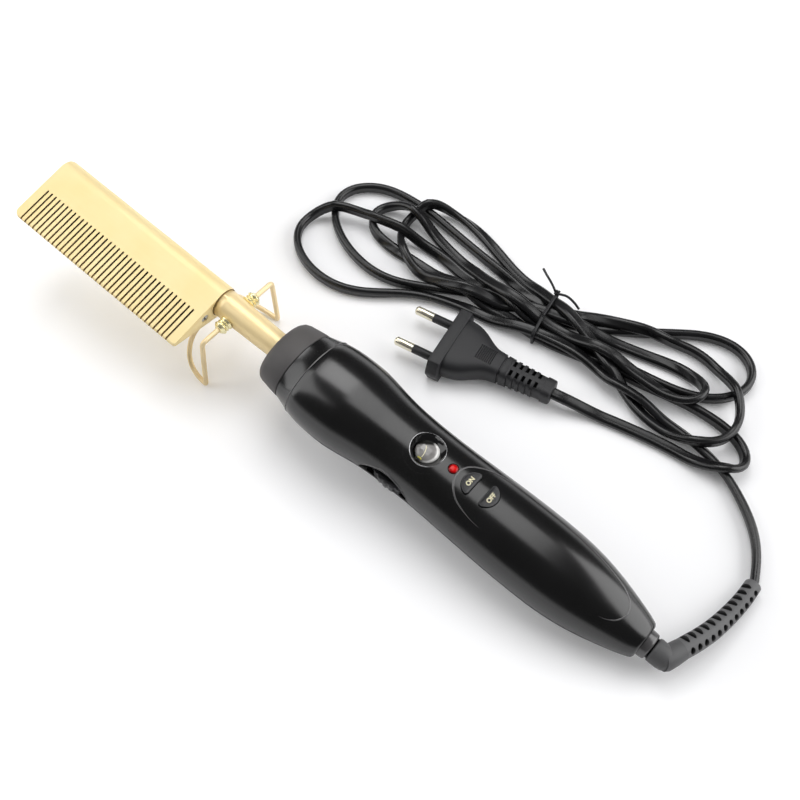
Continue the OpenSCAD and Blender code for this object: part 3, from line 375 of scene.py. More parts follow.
cord = {
    "width": 5.4 * mm, "thickness": 3.4 * mm, "groove": (0.45, 0.93), "step": 2.0 * mm, "reach": 9 * mm,
    "rounds": 600, "pile": 0.9 * mm, "clear": 0.22 * mm, "sink": 0.04 * mm, "pull": 0.05, "stiff": 0.35,
    "passes": 16, "push": (0.125, 0.125, 0.25),
    # x, y, how far it stands on its edge (0 lies flat), order in the pile (higher lies on top)
    "route": [
        (227, 49.5, .9, 1), (223.6, 58, .9, 1), (218.3, 66, .9, 1), (211, 73, .9, 1), (202, 79, .8, 1),
        (194, 84, .7, 1), (186, 86, .6, 1), (178, 88, .5, 1), (169, 88.5, .5, 1), (158, 89, .5, 1),
        (148, 89, .5, 1), (137, 90, .5, 1), (120, 91.5, .3, 1.5), (105, 90.5, .1, 3), (93, 89, 0, 4),
        # first loop at the comb's side
        (78, 85.5, 0, 4), (65, 82, 0, 4), (52, 78, .3, 4), (38, 72, .6, 4), (25, 61, .9, 4), (15, 54, 1, 4),
        (2, 51, 1, 4), (-12, 53, 1, 4), (-23, 59, 1, 4), (-28.5, 67, 1, 4), (-28.5, 75, 1, 4),
        (-24, 82, 1, 4.4), (-15, 87.5, 1, 5), (-2, 90.5, 1, 5), (13, 94, .9, 5), (28, 96, .7, 5),
        (44, 95, .4, 5), (58, 94.5, .2, 5), (72, 94, 0, 4), (90, 94.5, 0, 2.5),
        # first loop at the tail's side
        (109, 96, .5, 1), (122, 98.5, 1, 1), (136, 101, 1, 1), (150, 103, 1, 1), (160, 105.5, 1, 1),
        (169, 110, 1, 1.2), (176, 117.5, 1, 1.5), (179, 126.5, 1, 1.8), (175.5, 135, 1, 1.8),
        (168, 139.5, 1, 1.8), (160, 140, 1, 1.8), (151, 137, 1, 1.8), (142, 131, 1, 1.8), (130, 121, 1, 1.8),
        (118, 113, .7, 1.8), (104, 105, .2, 1.5), (90, 100, 0, 1.5), (76, 95, 0, 1.2), (60, 89.5, .3, 1),
        (47, 83, .7, 1), (34, 74, 1, 1), (20, 69, 1, 1), (4, 70, 1, 1), (-10, 75, 1, 1), (-20, 82, 1, 1.5),
        (-26, 91, 1, 1.5), (-25, 99, 1, 1.5), (-19, 106, 1, 1.5), (-10, 111, 1, 1.5), (9, 112.5, 1, 2),
        (20, 111.5, 1, 2), (39, 109, 1, 2), (59, 106.5, .8, 2), (73, 105.5, .3, 2), (90, 105.5, 0, 2),
        (105, 110, .2, 6), (120, 115, .5, 6), (136, 122.5, .9, 6), (153, 127, 1, 6), (168, 123, 1, 6),
        (180, 115, 1, 6), (186, 103, 1, 6), (185, 94, 1, 5.5), (180, 88, 1, 4), (172, 85.5, .8, 2),
        (163, 84.5, .5, .4), (152, 86, .3, .3), (141, 89.5, .2, .3), (130, 93.5, .1, 3), (118, 98, .1, 5),
        (107, 102, .1, 8), (91, 106, 0, 9), (80, 107, 0, 9), (67, 110, 0, 9), (50, 115.5, 0, 9),
        (36, 119, .3, 9), (24, 119.5, .7, 9), (14, 116.5, 1, 8), (8.5, 108.5, 1, 3), (8.5, 98.5, 1, 3),
        (13.5, 90, 1, 3), (22, 84, 1, 3), (32, 81, .8, 3), (45, 82, .5, 3), (60, 87, .2, 3), (76, 94, 0, 3),
        (90, 100.5, 0, 3.5), (104, 104.5, 0, 4), (118, 107.5, 0, 4), (134, 111, 0, 4), (147, 114.5, .2, 6),
        (157.5, 115.5, .6, 9), (166, 112, .9, 10), (168.5, 106, .9, 10), (165, 100.5, .7, 10),
        (157, 98, .5, 10), (147, 97.5, .1, 10), (132, 98, 0, 10), (114, 96.5, 0, 10), (92, 95, 0, 10),
        # the broad run over the pile
        (76, 94, 0, 10), (58, 96, 0, 10), (40, 100, 0, 10), (24, 103.5, .1, 10), (12, 106, .4, 10),
        (1.5, 106, .8, 9), (-6, 101.5, 1, 4), (-7.5, 94.5, 1, 2), (-2.5, 88, .9, 2), (6.5, 85.5, .7, 2),
        (18, 85.5, .2, 2), (30, 86, 0, 2), (45, 86, 0, 2), (62, 87.5, 0, 2), (78, 88, 0, 2), (93, 89, 0, .6),
        (110, 92, .5, .6), (128, 95, 1, .6), (142, 97.5, 1, .6), (154, 100, 1, .6), (165, 102, 1, .6),
        (177, 102.5, .9, .6), (188, 101, .8, 1.5), (195.5, 97.5, .8, 5), (198.5, 91, .8, 8),
        (195.5, 84.8, .6, 8), (188, 81.8, .3, 8), (178, 80.8, .1, 8), (166, 79.5, 0, 8), (150, 76.3, 0, 8),
        (135, 72.7, 0, 8), (121, 69, 0, 8)],
    # both ends leave straight, held by the boot and the plug
    "boot": ((0.22795, 0.0466, 0.00356), (-0.28, 0.955, -0.07)),
    "plug": ((0.11759, 0.06715, 0.00685), (0.983, 0.186, -0.02)), "held": 3,
}


def evenly(line, step):
    run = np.r_[0, np.cumsum(np.linalg.norm(np.diff(line[:, :2], axis=0), axis=1))]
    at = np.linspace(0, run[-1], int(run[-1] / step) + 1)
    return np.array([np.interp(at, run, column) for column in line.T]).T


def layCord(c):   # lets the cord sink onto the table and onto itself, each run in its order
    route = np.array(c["route"], float)
    route[:, :2] *= mm
    line = evenly(smoothLine(route, 12), c["step"])
    edge, order = np.clip(line[:, 2], 0, 1), line[:, 3]
    w, t = c["width"] / 2, c["thickness"] / 2
    half, tall = w + (t - w) * edge, t + (w - t) * edge
    target = line[:, :2].copy()
    for _ in range(12):
        target[1:-1] += 0.25 * (target[:-2] + target[2:] - 2 * target[1:-1])
    place = np.c_[target, tall + c["pile"] * order]
    count = np.arange(len(place))
    held = c["step"] * np.arange(c["held"])[:, None]
    atBoot = np.array(c["boot"][0]) + held * c["boot"][1]
    atPlug = (np.array(c["plug"][0]) + held * c["plug"][1])[::-1]
    for turn in range(c["rounds"]):
        if turn % 10 == 0:   # the runs that lie near each other
            apart = np.linalg.norm(place[:, None, :2] - place[None, :, :2], axis=2)
            one, two = np.where((apart < c["reach"]) & (count[:, None] + 9 < count[None]))
            spans = np.c_[half[one] + half[two], half[one] + half[two], tall[one] + tall[two]]
        for _ in range(c["passes"]):   # stiffness
            sag = np.zeros_like(place)
            sag[1:-1] = 0.5 * (place[:-2] + place[2:]) - place[1:-1]
            kink = np.zeros_like(place)
            kink[1:-1] = 0.5 * (sag[:-2] + sag[2:]) - sag[1:-1]
            place[2:-2] -= c["stiff"] * kink[2:-2]
        place[:, :2] += c["pull"] * (target - place[:, :2])
        place[:, 2] -= c["sink"]
        for _ in range(2):   # runs push each other apart
            gap = (place[one] - place[two]) / spans
            near = np.linalg.norm(gap, axis=1) + 1e-9
            hit = near < 1
            push = ((1 - near) / near)[hit, None] * gap[hit] * spans[hit] * c["push"]
            share = np.bincount(np.r_[one[hit], two[hit]], minlength=len(place))
            move = np.zeros_like(place)
            np.add.at(move, one[hit], push)
            np.add.at(move, two[hit], -push)
            place += move / np.maximum(1, share ** 0.5)[:, None]
            place[:, 2] = np.maximum(place[:, 2], tall + c["clear"])
        place[:c["held"]], place[-c["held"]:] = atBoot, atPlug
    return place, edge


def drawCord(c):
    place, edge = layCord(c)
    w, t = c["width"] / 2, c["thickness"] / 2
    inset, left = c["groove"]   # a shallow groove along both flat sides
    corner = [(cos(a), sin(a)) for a in np.radians(np.arange(-90, 91, 22.5))]
    half = [(w - t + t * x, t * y) for x, y in corner] + [(inset * w, t), (0, t * left), (-inset * w, t)]
    ring = [(*q, 0) for q in half + [(-x, -y) for x, y in half]]
    section = added(bpy.data.objects.new("cordSection", curve("cordSection", ring, True, dimensions="2D")))
    data = curve("cordLine", place, dimensions="3D", twist_mode="Z_UP", bevel_mode="OBJECT",
                 bevel_object=section, use_fill_caps=True)
    shape = solid(data, None, list(radians(90) * edge))
    bpy.data.objects.remove(section)
    return shape, place


cordLine, cordPath = drawCord(cord)
deliver(cordLine, "cord_set", "cord", ("cord_tail", "cord_hank", "cord_lead"), tableFrame, 50)


def stack(name, rings, sides=64, power=2, hollow=False):   # rings (z, half x, half y), one above the other
    z, a, b = rings[0]
    shape = begin(name, bpy.ops.mesh.primitive_circle_add, vertices=sides, radius=1, location=(0, 0, z),
                  fill_type="NOTHING" if hollow else "NGON")
    if power != 2:
        for v in shape.data.vertices:
            v.co *= (abs(v.co.x) ** power + abs(v.co.y) ** power) ** (-1 / power)
    enter("EDIT", "SELECT")
    bpy.ops.transform.resize(value=(a, b, 1), center_override=(0, 0, z))
    for zNext, aNext, bNext in rings[1:]:
        bpy.ops.mesh.extrude_region_move(TRANSFORM_OT_translate={"value": (0, 0, zNext - z)})
        bpy.ops.transform.resize(value=(aNext / a, bNext / b, 1), center_override=(0, 0, zNext))
        z, a, b = zNext, aNext, bNext
    bpy.ops.mesh.select_all(action="SELECT")
    if hollow:
        bpy.ops.mesh.remove_doubles(threshold=0.001)
    bpy.ops.mesh.normals_make_consistent(inside=False)
    enter("OBJECT")
    return shape


def turned(name, profile, sides=64, hollow=False):   # profile (z, radius)
    return stack(name, [(z, r, r) for z, r in profile], sides, 2, hollow)


def outlined(name, corners):   # a flat face
    shape = begin(name, bpy.ops.mesh.primitive_circle_add, vertices=len(corners), fill_type="NGON")
    for vertex, spot in zip(shape.data.vertices, corners):
        vertex.co = spot
    return shape


def thicken(shape, way):   # draws a flat shape out to a closed solid
    enter("EDIT", "SELECT")
    bpy.ops.mesh.extrude_region_move(TRANSFORM_OT_translate={"value": way})
    bpy.ops.mesh.select_all(action="SELECT")
    bpy.ops.mesh.normals_make_consistent(inside=False)
    bpy.ops.mesh.select_all(action="DESELECT")
    enter("OBJECT")


def cutWith(shape, cutter):
    bpy.ops.object.select_all(action="DESELECT")
    modify(shape, "BOOLEAN", operation="DIFFERENCE", solver="EXACT", object=cutter)
    bpy.data.objects.remove(cutter)


def softEdges(shape, width, angle=30, segments=2):
    modify(shape, "BEVEL", width=width, segments=segments, limit_method="ANGLE",
           angle_limit=radians(angle), harden_normals=False)


def refined(node, name, body, finish, edge=0, crease=32, shaping=None):   # a CAD part's copy
    shape = added(bpy.data.objects.new(name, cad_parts[node].data.copy()))
    enter("EDIT", "SELECT")
    bpy.ops.mesh.remove_doubles(threshold=0.000002)
    if edge:
        bpy.ops.mesh.dissolve_limited(angle_limit=radians(0.5))
    if shaping:
        shaping(shape)
    enter("OBJECT")
    if edge:
        softEdges(shape, edge * mm)
    return deliver(shape, body, finish, (node,), tableFrame, crease)


grip = {
    "front": 37.5, "tail": 207.2, "flat": (0.76, 0.12, 64), "part": 2, "roll": 13,
    "window": (101.5, 9.8), "groove": (44.5, 0.3), "rim": 1.3,
    # distance from its front, half width
    "rows": [
        (0, 16.6), (6.9, 18.65), (7.1, 18.8), (13, 19.775), (20, 20.1), (28, 19.915), (36, 18.731),
        (44, 17.399), (53, 16.659), (64, 16.4), (74, 16.466), (90, 16.972), (104, 17.39), (117, 17.5),
        (129, 17.206), (139, 16.226), (147, 14.756), (154, 12.992), (161, 10.934), (166, 9.268),
        (169.7, 7.7)],
}


def gripSize(x):   # half width and half height of the handle
    rows = grip["rows"]
    at = min(max(x - grip["front"], 0), rows[-1][0])
    i = max(j for j in range(len(rows) - 1) if rows[j][0] <= at)
    slope = []
    for j in (i, i + 1):
        (xBack, wBack), (xOn, wOn) = rows[max(j - 1, 0)], rows[min(j + 1, len(rows) - 1)]
        slope.append((wOn - wBack) / (xOn - xBack))
    (a, wa), (b, wb) = rows[i], rows[i + 1]
    h, u = b - a, (at - a) / (b - a)
    wide = ((1 + 2 * u) * (1 - u) ** 2 * wa + u * (1 - u) ** 2 * h * slope[0]
            + u * u * (3 - 2 * u) * wb + u * u * (u - 1) * h * slope[1])
    low, rise, over = grip["flat"]
    k = min(at / over, 1)
    return wide, wide * (low + rise * k * k * (3 - 2 * k))


def gripTop(x, y, up=0.0):   # a point on the handle's upper side
    w, h = gripSize(x)
    return (x, y, h * sqrt(max(1 - (y / w) ** 2, 0)) + up)


def flow(shape, normalAt):   # smooth skins take their normals from their own form, so cuts leave no marks
    back, turnUp, mesh = combFrame.inverted(), combFrame.to_3x3(), shape.data
    normals = [n.vector.copy() for n in mesh.corner_normals]
    found = [normalAt(*(back @ v.co / mm)) for v in mesh.vertices]
    for face in mesh.polygons:
        for corner in face.loop_indices:
            n = found[mesh.loops[corner].vertex_index]
            if n and (turnUp @ n).dot(face.normal) > 0.9:
                normals[corner] = turnUp @ n
    mesh.normals_split_custom_set(normals)


def gripNormal(x, y, z):
    groove, reach = grip["groove"]
    if not grip["front"] - 0.01 < x < grip["tail"] - grip["rim"] - 0.1 or abs(x - groove) < reach:
        return None
    (w, h), (wOn, hOn), (wBack, hBack) = gripSize(x), gripSize(x + 0.2), gripSize(x - 0.2)
    if abs((y / w) ** 2 + (z / h) ** 2 - 1) > 0.012:
        return None
    lean = -(y * y * (wOn - wBack) / w ** 3 + z * z * (hOn - hBack) / h ** 3) / 0.4
    return Vector((lean, y / w ** 2, z / h ** 2)).normalized()


def roundTail(shape):   # the shoulder's rim, where the handle ends
    bpy.ops.mesh.select_mode(type="EDGE")
    bpy.ops.mesh.select_all(action="DESELECT")
    enter("OBJECT")
    back, verts = combFrame.inverted(), shape.data.vertices
    w, h = gripSize(grip["tail"])
    onRim = [abs(q.x - grip["tail"]) < 0.02 and abs((q.y / w) ** 2 + (q.z / h) ** 2 - 1) < 0.03
             for q in (back @ v.co / mm for v in verts)]
    for edge in shape.data.edges:
        edge.select = all(onRim[i] for i in edge.vertices)
    enter("EDIT")
    bpy.ops.mesh.bevel(offset=grip["rim"] * mm, segments=5, affect="EDGES")
    bpy.ops.mesh.select_mode(type="VERT")


def sinkPad(shape):   # the round pad under the window goes down to the skin
    roundTail(shape)
    enter("OBJECT")
    middle, reach = grip["window"]
    back = combMm.inverted()
    for v in shape.data.vertices:
        q = back @ v.co
        if q.z > 8 and hypot(q.x - middle, q.y) < reach:
            q.z = min(q.z, gripTop(q.x, q.y)[2])
            v.co = combMm @ q
    enter("EDIT")


def raisedRim(name, path, thick, radii=None, closed=False, sides=12):   # a thin lip on the handle, in a lighter grey that paints the light it catches
    bar = sweep(name, path, thick, sides, radii, closed)
    deliver(bar, "comb", "rim", (), combMm, 80)


def fading(count, tip, run):   # thickness of a lip that thins out over so many points at both ends
    return [min(1, tip + (1 - tip) * min(i, count - 1 - i) / run) for i in range(count)]


for node, name, shaping in (("upper_shell", "upperShell", sinkPad), ("lower_shell", "lowerShell", roundTail)):
    flow(refined(node, name, "comb", "shell", shaping=shaping), gripNormal)

tongue = {   # the outline of the long tongue on top
    "side": [(196.2, 0), (195.6, 2.6), (193.8, 5), (190, 7.3), (183, 9.3), (172, 11.2), (158, 12.4),
             (142, 12.6), (132, 11.8), (126, 10.3), (121.5, 8), (118, 5), (116.4, 2), (116.2, 0)],
    "front": [(116.4, -2), (118, -5), (121.5, -8), (126, -9.6), (132, -10.6), (139, -11), (148, -11.4)],
    "rear": [(174, -10), (183, -8.8), (190, -7.1), (193.8, -5), (195.6, -2.6), (196.2, 0)],
    "thick": 0.5, "sunk": 0.3,
}
path = smoothLine(tongue["rear"] + tongue["side"][1:] + tongue["front"], 8)
raisedRim("tongueRim", [gripTop(x, y, -tongue["sunk"]) for x, y in path], tongue["thick"],
          fading(len(path), 0.15, 40))

mouth = {"at": 44.55, "thick": 0.3, "sunk": 0.12}
w, h = (half - mouth["sunk"] for half in gripSize(mouth["at"]))
path = [(mouth["at"], w * cos(a), h * sin(a)) for a in np.radians(np.arange(0, 360, 4))]
raisedRim("mouthRim", path, mouth["thick"], None, True)

lip = {"from": 46, "to": 204.5, "thick": 0.24, "under": 0.3, "sunk": 0.1, "side": -1, "points": 90}
path = []
for x in np.linspace(lip["from"], lip["to"], lip["points"]):
    w, h = gripSize(x)
    z = 0
    for _ in range(4):   # settles on the parting plane
        y = lip["side"] * w * sqrt(1 - (z / h) ** 2)
        z = grip["part"] + y * tan(radians(grip["roll"])) - lip["under"]
    path.append((x, y * (1 - lip["sunk"] / w), z))
raisedRim("partingLip", path, lip["thick"], fading(lip["points"], 0.3, 10))
refined("front_collar", "frontCollar", "comb", "collar", 0.25, 50)
print("handle dressed")

opening = {   # the eye-shaped cut for the dial's wheel
    "at": 94.4, "half": 12.6, "up": 6.0, "low": -0.6, "bottom": -2.2, "from": -26, "deep": 13.5, "lip": 0.42,
}


def eyelid(u, up):   # height of the opening's upper edge, u from -1 to 1 along it
    return up * (1 - u * u) ** 0.8 + opening["low"]


span, reach = np.linspace(-1, 1, 24), opening["half"] - 0.5
edge = [(u * reach, opening["from"], eyelid(u, opening["up"] - 0.2)) for u in span]
edge += [(-u * reach, opening["from"], opening["bottom"]) for u in span]
cutter = outlined("eyeCutter", edge)
thicken(cutter, (0, opening["deep"], 0))
settlePlace(cutter, combMm @ Matrix.Translation((opening["at"], 0, 0)))
upperShell = bpy.data.objects["upperShell"]
cutWith(upperShell, cutter)
flow(upperShell, gripNormal)

span = np.linspace(-1, 1, 33)
path = []
for u in span:
    x, z = opening["at"] + opening["half"] * u, eyelid(u, opening["up"])
    w, h = gripSize(x)
    path.append((x, -(w - 0.1) * sqrt(1 - (z / h) ** 2), z))
raisedRim("wheelLip", path, opening["lip"], [0.2 + 0.8 * (1 - u * u) ** 0.6 for u in span], False, 16)
refined("dial_wheel", "dialWheel", "dial", "wheel", 0.18, 40)

window = {
    "at": 101.5, "flat": 13.9, "deep": 1.4, "shift": (-0.5, -0.6),
    # height over the handle's skin, radius
    "ring": [(-0.9, 6.98), (0.08, 6.98), (0.2, 7.04), (0.26, 7.16), (0.2, 7.28), (0.02, 7.34), (-0.9, 7.34),
             (-0.9, 6.98)],
    "seat": [(-1.2, 7.2), (0.04, 7.2), (0.045, 7.8), (0.045, 8.5), (0.04, 9.2), (0.02, 9.7), (-0.1, 9.75),
             (-1.2, 9.7), (-1.2, 7.2)],
    "bowl": [(0.1, 7.0), (-0.2, 6.9), (-0.6, 6.5), (-1.1, 5.9), (-1.6, 5.35), (-1.9, 4.95), (-2.05, 4.8),
             (-3, 4.8), (-3, 5.6), (-1.6, 6.2), (-0.5, 6.96), (0.1, 7.0)],
    "lens": [(-2.9, 4.82), (-2.1, 4.82), (-1.75, 4.62), (-1.4, 3.9), (-1.1, 3), (-0.92, 2), (-0.82, 1),
             (-0.8, 0.3)],
    # on the lens: a curl's middle, half length and bow, and a short mark
    "curl": ((-0.78, -0.17), (-1.48, 2.8), (0.5, 0.4)), "mark": [(-0.9, -3.9), (0.1, -3.8), (0.9, -4)],
}


def seated(shape):   # follows the handle's skin at its top, level and a little aside lower down
    for v in shape.data.vertices:
        x, y, z = v.co
        k = min(1, max(0, 1 + z / window["deep"]))
        x, y = x + (1 - k) * window["shift"][0], y + (1 - k) * window["shift"][1]
        skin = gripTop(window["at"] + x, y)[2]
        v.co = (window["at"] + x, y, k * skin + (1 - k) * window["flat"] + z)
    return shape


def windowPart(shape, finish, nodes=(), crease=60):
    return deliver(seated(shape), "comb", finish, nodes, combMm, crease)


def onLens(x, y):   # just over the lens's dome
    return (x, y, -0.71 - (x * x + y * y) / 24)


for part, finish, crease, slot in (("ring", "ring", 50, None), ("seat", "shell", 50, "ring"),
                                   ("bowl", "bowl", 60, "ring")):
    shape = turned("window" + part.title(), window[part], 96, True)
    windowPart(shape, finish, ("window_ring",), crease)
flow(bpy.data.objects["windowSeat"], gripNormal)
windowPart(turned("windowLens", window["lens"], 64), "lens", ("window_lens",))

middle, half, bow = window["curl"]
span = np.linspace(-1, 1, 15)
path = [onLens(*(m + h * t + b * (0.4 - t * t) for m, h, b in zip(middle, half, bow))) for t in span]
curl = sweep("lensCurl", path, 0.24, 8, [0.5 + 0.5 * cos(1.4 * t) for t in span])
windowPart(curl, "letters")
windowPart(sweep("lensMark", [onLens(x, y) for x, y in window["mark"]], 0.28, 8), "mark")

lamp = {
    "at": 113.9,
    "dome": [(-3, 2.05), (-0.3, 2.05), (-0.02, 1.93), (0.22, 1.62), (0.4, 1.15), (0.5, 0.6), (0.53, 0.2)],
}
lampPlace = combMm @ Matrix.Translation(gripTop(lamp["at"], 0))
deliver(turned("lampDome", lamp["dome"], 48), "comb", "lamp", ("led_lamp",), lampPlace, 60)

keys = {
    "radius": 5.2, "corner": 1.1, "top": 15.38, "tall": 3.6, "gap": 0.22, "frame": 1.3, "frameTall": 0.9,
    "flat": {-1: 124.3, 1: 129.7}, "dish": ((0.55, -0.13), (0.5, -0.04)),
}


def halfRound(name, side, grow):   # half a disc with rounded corners, lying flat
    r, c, middle = keys["radius"] + grow, keys["corner"] + grow, keys["flat"][side]
    u = c - grow
    v = sqrt((r - c) ** 2 - u * u)
    turn = atan2(v, u)
    outline = [(r * cos(a), r * sin(a)) for a in np.linspace(-turn, turn, 48)]
    for up, angles in ((v, np.linspace(turn, pi, 10)[1:]),
                       (-v, np.linspace(pi, 2 * pi - turn, 10)[:-1])):
        outline += [(u + c * cos(a), up + c * sin(a)) for a in angles]
    return outlined(name, [(middle + side * x, y, keys["top"]) for x, y in outline])


for side, name in ((-1, "On"), (1, "Off")):
    cap = halfRound("key" + name, side, 0)
    thicken(cap, (0, 0, -keys["tall"]))
    bpy.context.tool_settings.mesh_select_mode = (False, False, True)
    for face in cap.data.polygons:
        face.select = face.normal.z > 0.9
    enter("EDIT")
    for inset, depth in keys["dish"]:
        bpy.ops.mesh.inset(thickness=inset, depth=depth)
    enter("OBJECT")
    bpy.context.tool_settings.mesh_select_mode = (True, False, False)
    softEdges(cap, 0.14, 25, 2)
    deliver(cap, "key_" + name.lower(), "keys", ("button_" + name.lower(),), combMm, 50)

    surround = halfRound("keyFrame" + name, side, keys["gap"] + keys["frame"])
    enter("EDIT", "SELECT")
    bpy.ops.mesh.inset(thickness=keys["frame"], use_boundary=True)
    bpy.ops.mesh.delete(type="FACE")
    thicken(surround, (0, 0, -keys["frameTall"]))
    for v in surround.data.vertices:
        v.co.z += gripTop(v.co.x, v.co.y)[2] - keys["top"] + 0.02
    softEdges(surround, 0.06, 50, 2)
    flow(deliver(surround, "comb", "shell", (), combMm, 60), gripNormal)

words = {"size": 2.55, "fat": 0.06, "thick": 0.04, "height": 15.21, "at": {"ON": 122.0, "OFF": 132.1}}
for text, at in words["at"].items():
    word = begin("word" + text.title(), bpy.ops.object.text_add, location=(0, 0, 0)).data
    word.body, word.size, word.extrude, word.offset = text, words["size"], words["thick"], words["fat"]
    word.align_x, word.align_y = "CENTER", "CENTER"
    bpy.ops.object.convert(target="MESH")
    place = combMm @ Matrix.Translation((at, 0, words["height"])) @ Matrix.Rotation(radians(90), 4, "Z")
    deliver(bpy.context.object, "key_" + text.lower(), "letters", (), place, 0)
print("window, lamp and keys done")

wedge = {"spine": 6.8, "edge": 1.1, "reach": 29}


def wedgeNormal(x, y, z):
    far = wedge["reach"] - wedge["edge"]
    lean = (wedge["spine"] - wedge["edge"]) / far
    side = Vector((0, -lean, copysign(sqrt(1 - lean * lean), z)))
    if abs(side.y * y + side.z * z - wedge["spine"]) < 0.02:
        return side
    if y > side.y * wedge["spine"] - 0.01 and abs(hypot(y, z) - wedge["spine"]) < 0.05:
        return Vector((0, y, z)).normalized()
    if abs(hypot(y + far, z) - wedge["edge"]) < 0.05:
        return Vector((0, y + far, z)).normalized()
    return None


flow(refined("comb_head", "combHead", "comb", "gold", 0.14, 30), wedgeNormal)
gapShade = {"at": -7.58, "radius": 6.42, "thick": 0.2}   # a dark ring where the tube enters the comb, painted shade standing in for the gap's shadow
w = gapShade["radius"]
path = [(gapShade["at"], w * cos(a), w * sin(a)) for a in np.radians(np.arange(0, 360, 6))]
deliver(sweep("tubeGapShade", path, gapShade["thick"], 8, None, True), "comb", "gapShade", (), combMm, 80)
refined("neck_tube", "neckTube", "comb", "tube", 0, 40)
boss = [   # distance from the tube's axis, radius
    (5.9, 2.5), (6.15, 3.0), (6.55, 3.28), (6.95, 3.05), (7.3, 2.6), (7.55, 2.45), (7.8, 2.65), (8.15, 3.0),
    (8.5, 2.75), (8.75, 2.5), (9.0, 2.6), (9.3, 3.0), (9.65, 3.2), (10.0, 3.0), (10.35, 2.6), (10.8, 2.2),
    (11.1, 1.9), (11.2, 1.6)]
for side, name in ((1, "bossLeft"), (-1, "bossRight")):
    place = combMm @ Matrix.Rotation(radians(-90 * side), 4, "X")
    deliver(turned(name, boss, 48), "comb", "brass", ("pivot_bosses",), place, 60)
stand = {
    "pivot": (2, 0, 31.5), "wire": 1.1,
    # half of it, from a boss to the middle of the arch
    "line": [
        (0, 7.4, 0), (0, 13, 0), (0, 18.2, 0), (-0.05, 19.7, -0.4), (-0.1, 20.4, -1.7), (-0.3, 20.7, -5),
        (-1, 21.4, -15), (-1.75, 22.1, -26.5), (-1.95, 22.25, -29), (-2.4, 22.3, -30), (-3.4, 22.2, -30.2),
        (-7.4, 21.8, -29.7), (-12, 20.5, -28), (-15, 18.4, -24.8), (-16.1, 15.8, -20.2), (-15.9, 12.8, -15.6),
        (-14.6, 9.6, -11.8), (-12.9, 6, -9.8), (-12, 3, -9.1), (-11.7, 0, -9)],
}
path = smoothPath(stand["line"] + [(x, -y, z) for x, y, z in stand["line"][-2::-1]], 6)
wire = sweep("standWire", path, stand["wire"], 20)
place = tableMm @ Matrix.Translation(stand["pivot"])
deliver(wire, "stand", "wire", ("stand_wire",), place, 60)
print("comb and stand done")

elbow = {
    "neck": [(206.6, 5.7), (209.5, 5.5), (210.1, 5.35), (210.4, 5), (210.5, 4.2)],
    "heel": [(211.1, 4.3), (211.2, 4.7), (211.5, 4.95), (212.2, 5.05), (215.4, 5.0), (217.2, 4.75),
             (218.6, 4.15), (219.6, 3.1), (220.1, 2), (220.35, 1), (220.4, 0.4)],
    "arm": [(216.1, -0.6, 0.1), (216.7, 0, 0), (217.9, 3.3, -0.4), (219.2, 7, -0.8)],
    "armRadius": [4.7, 4.7, 4.5, 4.2],
}
# the tail's neck in the lighter rim grey, a painted highlight
deliver(turned("tailNeck", elbow["neck"], 56), "comb", "rim", (), combMm @ alongX, 40)
heel = turned("elbow", elbow["heel"], 56)
deliver(heel, "cord_set", "elbow", ("cord_elbow",), combMm @ alongX, 45)
arm = sweep("elbowArm", elbow["arm"], 1, 40, elbow["armRadius"])
deliver(arm, "cord_set", "elbow", ("cord_elbow",), combMm, 45)

boot = {
    "path": [(216.7, 0, 0), (219.2, 7, -0.8), (221.9, 14.4, -1.9), (224.2, 22.4, -3.05), (225.9, 32, -4.4),
             (226.75, 41, -5.3), (226.7, 49.4, -5.75)],
    # length along it and radius, then the radius before and at its tip
    "taper": [(6.5, 4.1), (12, 4.15), (44, 3.5)], "tip": (3.35, 3.0),
    "rows": 12, "first": 9.8, "pitch": 3.4, "deep": 1.7, "slot": 1.1, "narrows": 0.014,
    # direction and half width of each row of slots
    "around": ((135, 2.6), (45, 1.55), (315, 2.6), (225, 1.55)),
}
bootLine = smoothPath(boot["path"], 40)
bootRun = np.r_[0, np.cumsum(np.linalg.norm(np.diff(bootLine, axis=0), axis=1))]
bootEnd = bootRun[-1]


def onBoot(at):   # a point of its middle line
    return Vector([np.interp(at, bootRun, column) for column in bootLine.T])


def bootRadius(at, *tip):
    rows = [*boot["taper"], *(tip or [(50, boot["tip"][0])])]
    return float(np.interp(at, *zip(*rows)))


marks = [*np.linspace(boot["taper"][0][0], bootEnd - 0.5, 40), bootEnd - 0.15, bootEnd]
thick = [bootRadius(m, (bootEnd - 0.5, boot["tip"][0]), (bootEnd, boot["tip"][1])) for m in marks]
sleeve = sweep("boot", [onBoot(m) for m in marks], 1, 40, thick)
cutters = []
for i in range(boot["rows"]):
    at = boot["first"] + i * boot["pitch"]
    spot = onBoot(at)
    along = (onBoot(at + 0.5) - spot).normalized()
    side = along.cross((0, 0, 1)).normalized()
    for turn, wide in boot["around"]:
        out = side * cos(radians(turn)) + side.cross(along) * sin(radians(turn))
        half = (boot["slot"], wide * (1 - boot["narrows"] * i))
        cutter = stack("slotCutter", [(0, *half), (3, *half)], 20)
        cutter.data.transform(Matrix.Translation(spot + out * (bootRadius(at) - boot["deep"]))
                              @ Matrix((along, out.cross(along), out)).transposed().to_4x4())
        cutters.append(cutter)
alone(cutters[0])
for cutter in cutters:
    cutter.select_set(True)
bpy.ops.object.join()
cutWith(sleeve, bpy.context.object)
softEdges(sleeve, 0.12, 45, 2)
deep = sleeve.data.attributes.new("deep", "FLOAT", "POINT")   # how far a point is under the boot's skin, which paints shade into its slots
for v in sleeve.data.vertices:
    apart = np.linalg.norm(bootLine - np.array(v.co), axis=1)
    at = bootRun[np.argmin(apart)]
    if boot["taper"][0][0] + 0.4 < at < bootEnd - 0.6:
        deep.data[v.index].value = float(np.clip((bootRadius(at) - apart.min() - 0.15) / 0.35, 0, 1))
deliver(sleeve, "cord_set", "boot", ("strain_boot",), combMm, 45)
